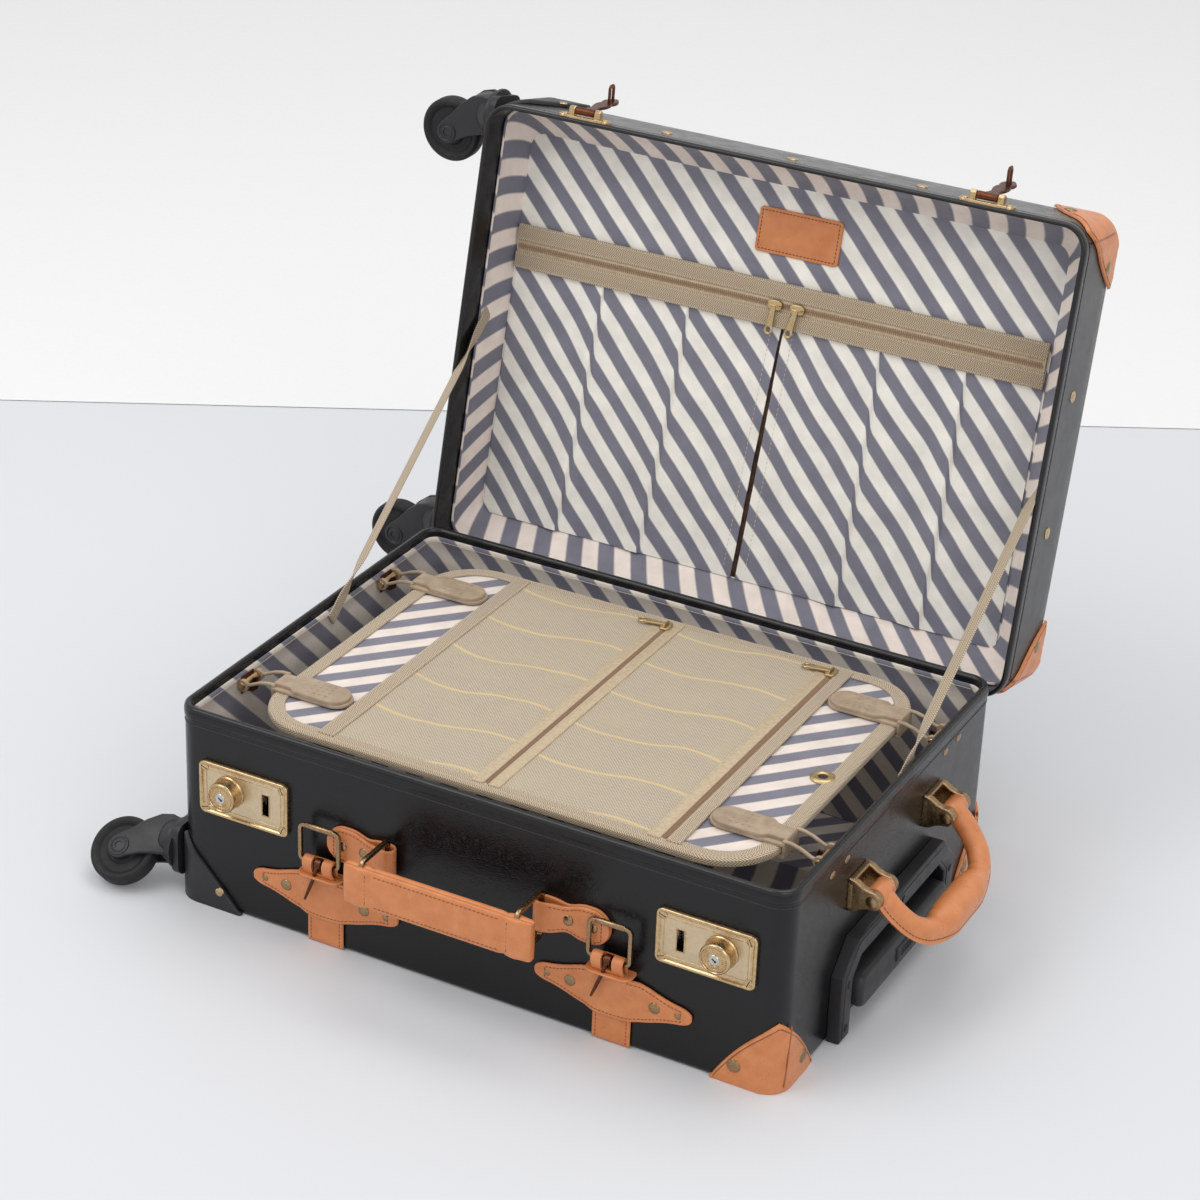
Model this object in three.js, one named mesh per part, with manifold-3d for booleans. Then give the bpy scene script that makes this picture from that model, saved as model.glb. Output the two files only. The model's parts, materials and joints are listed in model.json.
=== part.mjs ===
// Hard-sided cabin suitcase, lying open on its back panel.
// Millimetres, +Z up. X runs along the case: casters at -X, carry handle and trolley at +X.
// -Y is the front with the locks and the front handle, +Y is the hinge side.
// The origin is the middle of the base shell's underside. The lid is drawn shut, then swung open.

import * as THREE from 'three';
import { mergeVertices } from 'three/addons/utils/BufferGeometryUtils.js';
import Module from 'manifold-3d';

const wasm = await Module();
wasm.setup();

// Shared values

const degree = Math.PI / 180;
const seat = 0.3; // gap between two pieces that touch
const running = 0.5; // gap round a piece that turns or slides
const overrun = 60; // how far a cutting shape runs past what it cuts

// Case body

const caseLength = 490;
const caseWidth = 352;
const baseHeight = 160;
const caseCorner = 16; // corner radius seen from above
const shellWall = 5;
const shellFloor = 4;
const liningWall = 1.6;
const liningRimDrop = 5; // lining stops this far below the rim

// Lid

const lidDepth = 70;
const lidWall = 3.2;
const lidTop = 4;
const lidClearance = 1.2; // between the base's outside and the lid's inside
const lidOverlap = 24; // the shut lid covers this much of the base wall
const lidLiningTop = 2;
const lidOpenAngle = 103 * degree;

// Hinge

const hingeEndGap = 35; // hinge's end to the case's end
const hingeKnuckles = 5;
const hingeKnuckleRadius = 2.4;
const hingePinRadius = 1;
const hingeLeafThickness = 1.2;
const hingeLeafHeight = 20;
const hingeWebHeight = 1.6;

// Corner caps of leather and corner housings of plastic

const capThickness = 2.2;
const capReach = 54;
const capHeight = 61; // where the outline would meet the corner's sharp edge
const capBulgeShare = 0.62;
const housingThickness = 3;
const housingReach = 58;
const housingHeight = 60;
const housingBulgeShare = 0.52;
const housingPad = 8; // thickness of the pad that the caster turns on
const housingPadWidth = 44;

// Casters

const casterInset = 13; // swivel axis to the case's front or back wall
const casterHeight = 36; // swivel axis above the underside
const lidCasterDrop = 36; // swivel axis below the lid's top
const crownRadius = 18;
const crownHeight = 13;
const stemRadius = 4;
const stemLength = 6;
const wheelRadius = 26;
const wheelWidth = 14;
const wheelTrail = 20;
const wheelGroove = 2;
const wheelHubRadius = 15;
const axleRadius = 3;
const armThickness = 3.4;
const armHubRadius = 9;
const armRootShare = 0.82;
const casterLeanAngle = 50 * degree; // the fork has swung down until its wheel leans on the floor

// Locks and hasps

const lockShare = 0.7592; // lock's middle, as a share of half the case's length
const lockHeight = 102; // lock's middle above the underside
const lockWidth = 76;
const lockTall = 43;
const lockCorner = 5;
const lockThickness = 2.4;
const lockRim = 1.2;
const lockRimWidth = 2.6;
const slotOffset = 19;
const slotWidth = 5.4;
const slotTall = 17;
const knobOffset = 12;
const knobRise = 2;
const knobRadius = 12.5;
const knobLength = 12.5;
const knobSpindle = 3;
const knobSpindleLength = 6;
const haspPlateWidth = 44;
const haspPlateTall = 13;
const haspPlateThickness = 2;
const haspPivotRise = 7; // pivot above the lid's rim
const haspPivotOut = 6;
const haspKnuckleRadius = 3.4;
const haspKnuckleWidth = 5;
const haspBarrelWidth = 17;
const haspPin = 1.3;
const haspArmWidth = 13;
const haspArmThickness = 2.4;
const haspArmTail = 9; // arm past the staple
const stapleWidth = 3.4;
const stapleTall = 8;
const stapleDepth = 3; // staple into the base wall
const haspOpenAngle = 172 * degree;

// Front handle

const handleHeight = 91;
const loopShare = 0.2531; // loop's bar, as a share of half the case's length
const loopReach = 35; // bar in the tab to bar in the handle
const loopBar = 3.4;
const loopBore = 2.8;
const loopSlack = 0.8;
const foldRadius = 6.2;
const tabLength = 38;
const tabEndRadius = 14;
const tabRootHalf = 12;
const tabThickness = 5;
const tabWedge = 24;
const bandEnd = 13; // band past each loop's bar
const bandTall = 31;
const bandThickness = 9;
const bandCorner = 4;
const bandFoldRadius = 5.6;

// Buckle straps

const strapShare = 0.4776; // strap's middle, as a share of half the case's length
const leafHeight = 41;
const leafHalfLength = 61.5;
const leafHalfTall = 18;
const leatherThickness = 3;
const stubWidth = 30;
const buckleHeight = 73;
const buckleOut = 9.4;
const buckleFold = 5;
const buckleBore = 2.6;
const buckleBar = 3.2;
const buckleWidth = 32;
const buckleTall = 29;
const foldWidth = 25;
const foldSlot = 8.6;
const foldSlotDepth = 7;
const tailThickness = 6.2;
const tongueRing = 4.3;
const tongueWidth = 4.6;
const tongueRadius = 1.4;
const tongueDrop = 34;
const tongueLean = 13;

// Side handle

const sidePivotHeight = 111;
const sidePivotOut = 18;
const sidePivotShare = 0.3693; // pivot's middle, as a share of half the case's width
const sideHandleReach = 47;
const sideHandleRadius = 8.6;
const sideGripRadius = 12.4;
const sideGripHalf = 42;
const sideGripCoreShare = 0.36;
const sideHandlePathShares = [[0, 1], [0.34, 1], [0.74, 0.88], [0.97, 0.58], [1, 0]];
const sideHandleBarrel = 8;
const sideHandleAngle = 45 * degree; // below level
const earGap = 20;
const earThickness = 5.5;
const earRadius = 7;
const bracketTall = 26;
const bracketThickness = 4;
const sidePin = 2.5;

// Trolley

const tubeShare = 0.3409; // tube's middle, as a share of half the case's width
const tubeHeight = 24;
const tubeWidth = 20;
const tubeTall = 14;
const tubeWall = 1.2;
const tubeEndInset = 10;
const rodWall = 1.2;
const rodEndInset = 42;
const braceLength = 20;
const braceThickness = 2;
const bezelShare = 0.5568; // arch's outside, as a share of half the case's width
const bezelTall = 76;
const bezelChamfer = 22;
const innerChamferShare = 2 - Math.SQRT2; // the inside chamfer is shorter by this share of the leg
const bezelLeg = 17;
const bezelDepth = 10;
const gripSideGap = 4; // grip's end to the arch's leg
const gripTall = 28;
const gripDepth = 15;
const gripCorner = 9;
const gripHeight = 31;
const buttonWidth = 34;
const buttonTall = 11;
const buttonProud = 2;
const buttonLength = 7.5;
const buttonTravel = 3;

// Divider panel with its clips and zips

const dividerDrop = 9; // divider's upper face below the rim
const dividerThickness = 5;
const dividerEndGap = 40; // divider's end to the case's end
const dividerSideGap = 27;
const dividerCorner = 46;
const clipShare = 0.5511; // clip's middle, as a share of half the case's width
const clipReach = 57; // jaw past the divider's edge
const clipWidth = 25;
const clipPlate = 2.4;
const clipGape = 1.2; // between the upper jaw and its lever
const clipLeverShort = 6;
const clipUnderReach = 26;
const clipWall = 3;
const clipArmWidth = 3;
const clipArmSpread = 20;
const clipHookRadius = 3.4;
const clipHookWidth = 26;
const sliderLength = 12;
const sliderWidth = 8;
const sliderTall = 4.5;
const pullLength = 24;
const pullWidth = 6;
const pullThickness = 1.6;
const tapeThickness = 1.2;
const tapeWidth = 36;
const dividerZipShares = [-0.034, 0.644]; // of the divider's half length
const dividerSliderInset = 17; // from the divider's back edge

// Lid pocket

const pocketEndGap = 8.3; // pocket's end to the lining
const pocketTopShare = 0.367; // zip band's middle, as a share of half the case's width
const pocketBottomGap = 17.3; // pocket's bottom to the lining
const pocketThickness = 6;
const pleatDepth = 3.6;
const pleatWidth = 9;
const pleats = 6;
const lidSliderPlaces = [-4, 15];

// Stays of webbing

const stayWidth = 12;
const stayThickness = 1.2;
const stayBasePlace = 24; // from the case's middle, towards the hinge
const stayBaseDrop = 9;
const stayLidPlace = 187; // from the hinge axis, towards the lid's front
const stayLidRise = 31;

// Places that follow from the sizes above

const halfLength = caseLength / 2;
const halfWidth = caseWidth / 2;
const lidGrow = lidClearance + lidWall;
const lidRimHeight = baseHeight - lidOverlap;
const hingeOut = lidGrow + seat + hingeKnuckleRadius;
const liningFloor = shellFloor + seat + braceThickness + seat;
const liningInset = shellWall + seat;
const casterReach = crownHeight + running + wheelRadius;
const hingeLength = 2 * (halfLength - hingeEndGap);
const lockOffset = halfLength * lockShare;
const slotPlace = lockOffset - slotOffset;
const loopOffset = halfLength * loopShare;
const bandLength = 2 * (loopOffset + bandEnd);
const strapOffset = halfLength * strapShare;
const sidePivotOffset = halfWidth * sidePivotShare;
const tubeOffset = halfWidth * tubeShare;
const bezelHalfWidth = halfWidth * bezelShare;
const gripWidth = 2 * (bezelHalfWidth - bezelLeg - gripSideGap);
const haspReach = lidRimHeight + haspPivotRise - lockHeight;
const dividerTop = baseHeight - dividerDrop;
const dividerBottom = dividerTop - dividerThickness;
const dividerHalfLength = halfLength - dividerEndGap;
const dividerHalfWidth = halfWidth - dividerSideGap;
const clipOffset = halfWidth * clipShare;
const lidPanel = lidDepth - lidTop - seat - lidLiningTop;
const lidLiningGrow = lidClearance - seat - liningWall; // lining's inside against the case's outside
const pocketHalfLength = halfLength + lidLiningGrow - pocketEndGap;
const pocketTop = halfWidth * pocketTopShare;
const pocketBottom = halfWidth + lidLiningGrow - pocketBottomGap;

// Materials

function finish(color, roughness, metalness = 0) {
  return () => new THREE.MeshStandardMaterial({ color, roughness, metalness });
}

const blackVinyl = finish(0x232326, 0.45);
const blackPlastic = finish(0x262628, 0.5);
const tanLeather = finish(0xcd8255, 0.55);
const brass = finish(0xb09a62, 0.35, 1);
const darkBrass = finish(0x6a5c3c, 0.4, 1);
const steel = finish(0xb8bbc0, 0.3, 1);
const stripedLining = finish(0xb4b2b0, 0.7);
const beigeWebbing = finish(0xc4b296, 0.85);
const meshPanel = finish(0xd7cdaf, 0.9);

// Solids: three.js geometry joined and cut as closed bodies

function toSolid(geometry) {
  const bare = geometry.index ? geometry.toNonIndexed() : geometry;
  bare.deleteAttribute('normal');
  bare.deleteAttribute('uv');
  const merged = mergeVertices(bare);
  return new wasm.Manifold(new wasm.Mesh({
    numProp: 3,
    vertProperties: new Float32Array(merged.attributes.position.array),
    triVerts: new Uint32Array(merged.index.array),
  }));
}

function toGeometry(solid) {
  const mesh = solid.getMesh();
  const geometry = new THREE.BufferGeometry();
  geometry.setAttribute('position', new THREE.BufferAttribute(mesh.vertProperties, 3));
  geometry.setIndex(new THREE.BufferAttribute(mesh.triVerts, 1));
  geometry.computeVertexNormals();
  return geometry;
}

function join(solids) {
  return solids.reduce((whole, next) => whole.add(next));
}

function cut(whole, tools) {
  return tools.reduce((left, tool) => left.subtract(tool), whole);
}

function block(x0, x1, y0, y1, z0, z1) {
  const geometry = new THREE.BoxGeometry(Math.abs(x1 - x0), y1 - y0, z1 - z0);
  geometry.translate((x0 + x1) / 2, (y0 + y1) / 2, (z0 + z1) / 2);
  return toSolid(geometry);
}

function rod(radius, axis, from, to, centre, sides = 16) {
  const geometry = new THREE.CylinderGeometry(radius, radius, to - from, sides);
  geometry.translate(0, (from + to) / 2, 0);
  if (axis === 'x') geometry.rotateZ(-Math.PI / 2);
  if (axis === 'z') geometry.rotateX(Math.PI / 2);
  geometry.translate(...centre);
  return toSolid(geometry);
}

function polygon(points) {
  return new THREE.Shape(points.map(([a, b]) => new THREE.Vector2(a, b)));
}

function roundedRectangle(width, height, radius) {
  const a = width / 2 - radius;
  const b = height / 2 - radius;
  const shape = new THREE.Shape();
  shape.absarc(a, b, radius, 0, Math.PI / 2);
  shape.absarc(-a, b, radius, Math.PI / 2, Math.PI);
  shape.absarc(-a, -b, radius, Math.PI, -Math.PI / 2);
  shape.absarc(a, -b, radius, -Math.PI / 2, 0);
  return shape;
}

function extruded(shape, depth, smooth) {
  return new THREE.ExtrudeGeometry(shape, { depth, bevelEnabled: false, curveSegments: smooth });
}

// A shape drawn in (x, y), from height z0 to z1
function slab(shape, z0, z1, smooth = 3) {
  const geometry = extruded(shape, z1 - z0, smooth);
  geometry.translate(0, 0, z0);
  return toSolid(geometry);
}

// A shape drawn in (x, z), from out0 to out1 in front of y = 0
function frontPlate(shape, out0, out1, smooth = 3) {
  const geometry = extruded(shape, out1 - out0, smooth);
  geometry.rotateX(Math.PI / 2);
  geometry.translate(0, -out0, 0);
  return toSolid(geometry);
}

// A shape drawn in (y, z), from x0 to x1
function sidePlate(shape, x0, x1, smooth = 3) {
  const geometry = extruded(shape, x1 - x0, smooth);
  geometry.applyMatrix4(new THREE.Matrix4().set(0, 0, 1, x0, 1, 0, 0, 0, 0, 1, 0, 0, 0, 0, 0, 1));
  return toSolid(geometry);
}

function roundedBox(grow, z0, z1) {
  const outline = roundedRectangle(caseLength + 2 * grow, caseWidth + 2 * grow, caseCorner + grow);
  return slab(outline, z0, z1);
}

function add(parent, name, solid, material, place = [0, 0, 0], turn = [0, 0, 0]) {
  const mesh = new THREE.Mesh(toGeometry(solid), material());
  mesh.name = name;
  mesh.position.set(...place);
  mesh.rotation.set(...turn);
  parent.add(mesh);
  return mesh;
}

// Base shell and lining

function tubeHoles(grow, x0, x1) {
  return [-tubeOffset, tubeOffset].map((y) => block(
    x0, x1,
    y - tubeWidth / 2 - grow, y + tubeWidth / 2 + grow,
    tubeHeight - tubeTall / 2 - grow, tubeHeight + tubeTall / 2 + grow,
  ));
}

function baseShell() {
  const hollow = roundedBox(-shellWall, shellFloor, baseHeight + overrun);
  const slots = [-slotPlace, slotPlace].map((x) => block(
    x - slotWidth / 2, x + slotWidth / 2,
    -halfWidth - overrun, -halfWidth + overrun,
    lockHeight - slotTall / 2, lockHeight + slotTall / 2,
  ));
  const spindles = [-1, 1].map((side) => rod(
    knobSpindle + running, 'y', -halfWidth - overrun, -halfWidth + overrun,
    [side * (lockOffset + knobOffset), 0, lockHeight + knobRise],
  ));
  const holes = tubeHoles(seat, halfLength - overrun, halfLength + overrun);
  return cut(roundedBox(0, 0, baseHeight), [hollow, ...slots, ...spindles, ...holes]);
}

function baseLining() {
  const tray = roundedBox(-liningInset, liningFloor, baseHeight - liningRimDrop);
  const hollow = roundedBox(-liningInset - liningWall, liningFloor + liningWall, baseHeight + overrun);
  const ridgeTop = tubeHeight + tubeTall / 2 + seat + liningWall;
  const ridgeHalf = tubeWidth / 2 + seat + liningWall;
  const ridges = [-tubeOffset, tubeOffset].map((y) => block(
    -halfLength + liningInset, halfLength - liningInset,
    y - ridgeHalf, y + ridgeHalf, liningFloor, ridgeTop,
  ));
  const tunnels = [-tubeOffset, tubeOffset].map((y) => block(
    -halfLength + liningInset + liningWall + seat, halfLength + overrun,
    y - ridgeHalf + liningWall, y + ridgeHalf - liningWall,
    0, ridgeTop - liningWall,
  ));
  return cut(tray, [cut(hollow, ridges), ...tunnels]);
}

// Corner pieces. Each covers the two walls that meet at a corner; signs give the corner's side.

function cornerOutline(reach, height, bulgeShare) {
  const shape = new THREE.Shape();
  shape.moveTo(0, 0);
  shape.lineTo(reach, 0);
  shape.quadraticCurveTo(reach * bulgeShare, height * bulgeShare, 0, height);
  shape.closePath();
  return shape;
}

function cornerPrisms(grow, signX, signY, reach, height, bulgeShare) {
  const outline = cornerOutline(reach, height, bulgeShare);
  const wall = frontPlate(outline, -caseCorner - grow, 0);
  const half = slab(polygon([[0, 0], [reach, 0], [reach, reach]]), -overrun, overrun * 2);
  const onFront = wall.intersect(half);
  let both = onFront.add(onFront.mirror([1, -1, 0]));
  if (signX > 0) both = both.mirror([1, 0, 0]);
  if (signY > 0) both = both.mirror([0, 1, 0]);
  return both.translate([signX * (halfLength + grow), signY * (halfWidth + grow), 0]);
}

function cornerGuard(inner, thickness, signX, signY, reach, height, bulgeShare) {
  const grow = inner + seat + thickness;
  const ring = roundedBox(grow, 0, height).subtract(roundedBox(inner + seat, -overrun, overrun * 2));
  return ring.intersect(cornerPrisms(grow, signX, signY, reach, height, bulgeShare));
}

// A caster's corner housing on the -X end, with the pad and the bore for the caster's stem
function casterHousing(inner, signY, axisHeight) {
  const guard = cornerGuard(
    inner, housingThickness, -1, signY, housingReach, housingHeight, housingBulgeShare,
  );
  const wall = -halfLength - inner - seat;
  const axisY = signY * (halfWidth + inner - casterInset);
  const half = housingPadWidth / 2;
  const edge = signY * (halfWidth + inner + seat + housingThickness);
  const y0 = Math.max(axisY - half, Math.min(edge, -edge));
  const y1 = Math.min(axisY + half, Math.max(edge, -edge));
  const low = Math.max(axisHeight - half, 0);
  const pad = block(wall - housingPad, wall, y0, y1, low, axisHeight + half);
  const bore = rod(stemRadius + running, 'x', wall - overrun, wall - seat, [0, axisY, axisHeight]);
  return guard.add(pad).subtract(bore);
}

// Caster fork, its swivel axis along local X and its trail down local -Z, and the wheel
function casterFork() {
  const crown = rod(crownRadius, 'x', -crownHeight, 0, [0, 0, 0], 20);
  const stem = rod(stemRadius, 'x', 0, stemLength, [0, 0, 0]);
  const armInner = wheelWidth / 2 + running;
  const outline = new THREE.Shape();
  outline.moveTo(0, crownRadius * armRootShare);
  outline.lineTo(0, -crownRadius * armRootShare);
  outline.lineTo(-crownHeight, -crownRadius);
  outline.lineTo(-casterReach + armHubRadius, -wheelTrail - armHubRadius);
  outline.absarc(-casterReach, -wheelTrail, armHubRadius, -Math.PI / 2, Math.PI / 2, true);
  outline.lineTo(-crownHeight, crownRadius * armRootShare);
  outline.closePath();
  const arms = [-1, 1].map((side) => {
    const start = side > 0 ? -armInner - armThickness : armInner;
    return frontPlate(outline, start, start + armThickness);
  });
  const reach = armInner + armThickness / 2;
  const axle = rod(axleRadius, 'y', -reach, reach, [-casterReach, 0, -wheelTrail]);
  return join([crown, stem, ...arms, axle]);
}

function casterWheel() {
  const half = wheelWidth / 2;
  const edge = wheelRadius - wheelGroove;
  const profile = [
    [axleRadius + running, -half],
    [wheelHubRadius, -half],
    [wheelHubRadius + wheelGroove, -half + wheelGroove],
    [edge - wheelGroove, -half + wheelGroove],
    [edge, -half],
    [wheelRadius, -half + wheelGroove],
    [wheelRadius, half - wheelGroove],
    [edge, half],
    [edge - wheelGroove, half - wheelGroove],
    [wheelHubRadius + wheelGroove, half - wheelGroove],
    [wheelHubRadius, half],
    [axleRadius + running, half],
    [axleRadius + running, -half],
  ];
  return toSolid(new THREE.LatheGeometry(profile.map(([r, y]) => new THREE.Vector2(r, y)), 24));
}

function addCaster(parent, name, inner, signY, axisHeight, lean) {
  const housing = casterHousing(inner, signY, axisHeight);
  const wall = -halfLength - inner - seat;
  const turned = new THREE.Group();
  turned.position.set(wall - housingPad - seat, signY * (halfWidth + inner - casterInset), axisHeight);
  turned.rotation.x = lean;
  add(turned, `caster_fork_${name}`, casterFork(), blackPlastic);
  add(turned, `caster_wheel_${name}`, casterWheel(), blackPlastic, [-casterReach, 0, -wheelTrail]);
  parent.add(turned);
  return housing;
}

// Lock plate and its turning knob; the slot is inboard and the knob outboard
function lockPlate(side) {
  const outline = roundedRectangle(lockWidth, lockTall, lockCorner);
  const inside = roundedRectangle(
    lockWidth - 2 * lockRimWidth, lockTall - 2 * lockRimWidth, lockCorner - lockRimWidth,
  );
  const face = seat + lockThickness;
  const plate = frontPlate(outline, seat, face + lockRim);
  const dish = frontPlate(inside, face, face + overrun);
  const slot = block(
    -side * slotOffset - slotWidth / 2, -side * slotOffset + slotWidth / 2,
    -overrun, overrun, -slotTall / 2, slotTall / 2,
  );
  const hole = rod(knobSpindle + running, 'y', -overrun, overrun, [side * knobOffset, 0, knobRise]);
  return cut(plate, [dish, slot, hole]);
}

function lockKnob() {
  const face = seat + lockThickness + seat;
  const body = rod(knobRadius, 'y', -face - knobLength, -face, [0, 0, 0], 24);
  const spindle = rod(knobSpindle, 'y', -face, knobSpindleLength - face, [0, 0, 0]);
  return body.add(spindle);
}

// Hasp plate on the lid's front wall, and the arm that it carries, drawn hanging shut
function haspPlate() {
  const plate = block(
    -haspPlateWidth / 2, haspPlateWidth / 2,
    -seat - haspPlateThickness, -seat,
    haspPivotRise - haspPlateTall / 2, haspPivotRise + haspPlateTall / 2,
  );
  const inner = haspBarrelWidth / 2;
  const outer = inner + haspKnuckleWidth;
  const knuckles = [[-outer, -inner], [inner, outer]].map(([x0, x1]) => join([
    rod(haspKnuckleRadius, 'x', x0, x1, [0, -haspPivotOut, haspPivotRise]),
    block(
      x0, x1, -haspPivotOut, -seat,
      haspPivotRise - haspKnuckleRadius, haspPivotRise + haspKnuckleRadius,
    ),
  ]));
  const pin = rod(haspPin, 'x', -inner, inner, [0, -haspPivotOut, haspPivotRise]);
  return join([plate, ...knuckles, pin]);
}

function haspArm() {
  const half = haspBarrelWidth / 2 - seat;
  const barrel = rod(haspKnuckleRadius - seat, 'x', -half, half, [0, 0, 0]);
  const bore = rod(haspPin + seat, 'x', -overrun, overrun, [0, 0, 0]);
  const arm = block(
    -haspArmWidth / 2, haspArmWidth / 2,
    -haspArmThickness / 2, haspArmThickness / 2,
    -haspReach - haspArmTail, 0,
  );
  const staple = block(
    -stapleWidth / 2, stapleWidth / 2,
    0, haspPivotOut + lidGrow + stapleDepth,
    -haspReach - stapleTall / 2, -haspReach + stapleTall / 2,
  );
  return join([barrel, arm, staple]).subtract(bore);
}

// Front handle: tab on the case, loop, and the stitched band. The tab's origin is its loop's bar.
function handleTab(side) {
  const outline = new THREE.Shape();
  outline.moveTo(0, -tabRootHalf);
  outline.lineTo(tabLength, -tabEndRadius);
  outline.absarc(tabLength, 0, tabEndRadius, -Math.PI / 2, Math.PI / 2);
  outline.lineTo(0, tabRootHalf);
  outline.closePath();
  const back = foldRadius;
  const leaf = frontPlate(outline, -back, tabThickness - back);
  const fold = rod(foldRadius, 'z', -tabRootHalf, tabRootHalf, [0, 0, 0]);
  const wedge = slab(
    polygon([[0, 0], [0, -foldRadius], [tabWedge, back - tabThickness], [tabWedge, back]]),
    -tabRootHalf, tabRootHalf,
  );
  const bore = rod(loopBore, 'z', -overrun, overrun, [0, 0, 0]);
  const tab = join([leaf, fold, wedge]).subtract(bore);
  return side > 0 ? tab : tab.mirror([1, 0, 0]);
}

function squareRing(width, height, bar) {
  const a = width / 2 + bar / 2;
  const b = height / 2 + bar / 2;
  const shape = polygon([[-a, -b], [a, -b], [a, b], [-a, b]]);
  const c = a - bar;
  const d = b - bar;
  shape.holes.push(new THREE.Path([[-c, -d], [-c, d], [c, d], [c, -d]].map(
    ([x, y]) => new THREE.Vector2(x, y),
  )));
  return shape;
}

function handleLoop() {
  const ring = squareRing(loopReach, bandTall + 2 * loopSlack + loopBar, loopBar);
  const geometry = extruded(ring, loopBar, 1);
  geometry.translate(-loopReach / 2, 0, -loopBar / 2);
  geometry.applyMatrix4(new THREE.Matrix4().set(0, 0, 1, 0, 1, 0, 0, 0, 0, 1, 0, 0, 0, 0, 0, 1));
  return toSolid(geometry);
}

function handleBand() {
  const half = bandTall / 2;
  const band = slab(roundedRectangle(bandLength, bandThickness, bandCorner), -half, half);
  const folds = [-loopOffset, loopOffset].map((x) => rod(bandFoldRadius, 'z', -half, half, [x, 0, 0]));
  const bores = [-loopOffset, loopOffset].map((x) => rod(loopBore, 'z', -overrun, overrun, [x, 0, 0]));
  return cut(join([band, ...folds]), bores);
}

// Buckle strap: the leaf, the stub that runs down the wall, and the fold that holds the buckle
function buckleStrap() {
  const leaf = new THREE.Shape();
  leaf.moveTo(-leafHalfLength, leafHeight);
  leaf.quadraticCurveTo(0, leafHeight - 2 * leafHalfTall, leafHalfLength, leafHeight);
  leaf.quadraticCurveTo(0, leafHeight + 2 * leafHalfTall, -leafHalfLength, leafHeight);
  const face = seat + leatherThickness;
  const stub = block(-stubWidth / 2, stubWidth / 2, -face, -seat, seat, leafHeight);
  const tail = block(
    -foldWidth / 2, foldWidth / 2, -seat - tailThickness, -seat, leafHeight, buckleHeight,
  );
  const fold = rod(buckleFold, 'x', -foldWidth / 2, foldWidth / 2, [0, -buckleOut, buckleHeight]);
  const slot = block(
    -foldSlot / 2, foldSlot / 2, -overrun, -buckleOut + buckleFold,
    buckleHeight - foldSlotDepth, buckleHeight + overrun,
  );
  const bore = rod(buckleBore, 'x', -overrun, overrun, [0, -buckleOut, buckleHeight]);
  return cut(join([frontPlate(leaf, seat, face, 5), stub, tail, fold]), [slot, bore]);
}

function buckleFrame() {
  const ring = frontPlate(squareRing(buckleWidth, buckleTall, buckleBar), -buckleBar / 2, buckleBar / 2);
  return ring;
}

function buckleTongue() {
  const ring = rod(tongueRing, 'x', -tongueWidth / 2, tongueWidth / 2, [0, 0, 0]);
  const bore = rod(buckleBore, 'x', -overrun, overrun, [0, 0, 0]);
  const length = Math.hypot(tongueDrop, tongueLean);
  const prong = new THREE.CylinderGeometry(tongueRadius, tongueRadius, length, 8);
  prong.translate(0, -length / 2, 0);
  prong.rotateX(Math.PI / 2);
  prong.rotateY(Math.atan2(tongueLean, tongueDrop));
  return ring.add(toSolid(prong)).subtract(bore);
}

// Side handle and its two brackets; the brackets' origin is the pivot's foot on the wall
function sideBracket() {
  const half = bracketTall / 2;
  const outer = earGap / 2 + earThickness;
  const plate = block(seat, seat + bracketThickness, -outer, outer, -half, half);
  const outline = new THREE.Shape();
  outline.moveTo(seat, -half);
  outline.lineTo(sidePivotOut, -earRadius);
  outline.absarc(sidePivotOut, 0, earRadius, -Math.PI / 2, Math.PI / 2);
  outline.lineTo(seat, half);
  outline.closePath();
  const ears = [earGap / 2, -outer].map((start) => frontPlate(outline, start, start + earThickness));
  const pin = rod(sidePin, 'y', -earGap / 2, earGap / 2, [sidePivotOut, 0, 0]);
  return join([plate, ...ears, pin]);
}

function sideHandle() {
  const half = sideHandlePathShares.map(([reach, across]) => (
    new THREE.Vector3(reach * sideHandleReach, across * sidePivotOffset, 0)
  ));
  const other = half.slice(0, -1).reverse().map((p) => new THREE.Vector3(p.x, -p.y, 0));
  const path = new THREE.CatmullRomCurve3([...half, ...other]);
  const round = new THREE.Shape();
  round.absarc(0, 0, sideHandleRadius, 0, 2 * Math.PI);
  const bow = new THREE.ExtrudeGeometry(round, { steps: 20, extrudePath: path, curveSegments: 5 });
  const core = sideGripHalf * sideGripCoreShare;
  const profile = [
    [0, -sideGripHalf],
    [sideHandleRadius, -sideGripHalf],
    [sideGripRadius, -core],
    [sideGripRadius, core],
    [sideHandleRadius, sideGripHalf],
    [0, sideGripHalf],
  ].map(([r, y]) => new THREE.Vector2(r, y));
  const grip = new THREE.LatheGeometry(profile, 14);
  grip.translate(sideHandleReach, 0, 0);
  const width = earGap / 2 - running;
  const barrels = [-sidePivotOffset, sidePivotOffset].map((y) => (
    rod(sideHandleBarrel, 'y', y - width, y + width, [0, 0, 0])
  ));
  const bore = rod(sidePin + running, 'y', -overrun * 2, overrun * 2, [0, 0, 0]);
  return join([toSolid(bow), toSolid(grip), ...barrels]).subtract(bore);
}

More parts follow.
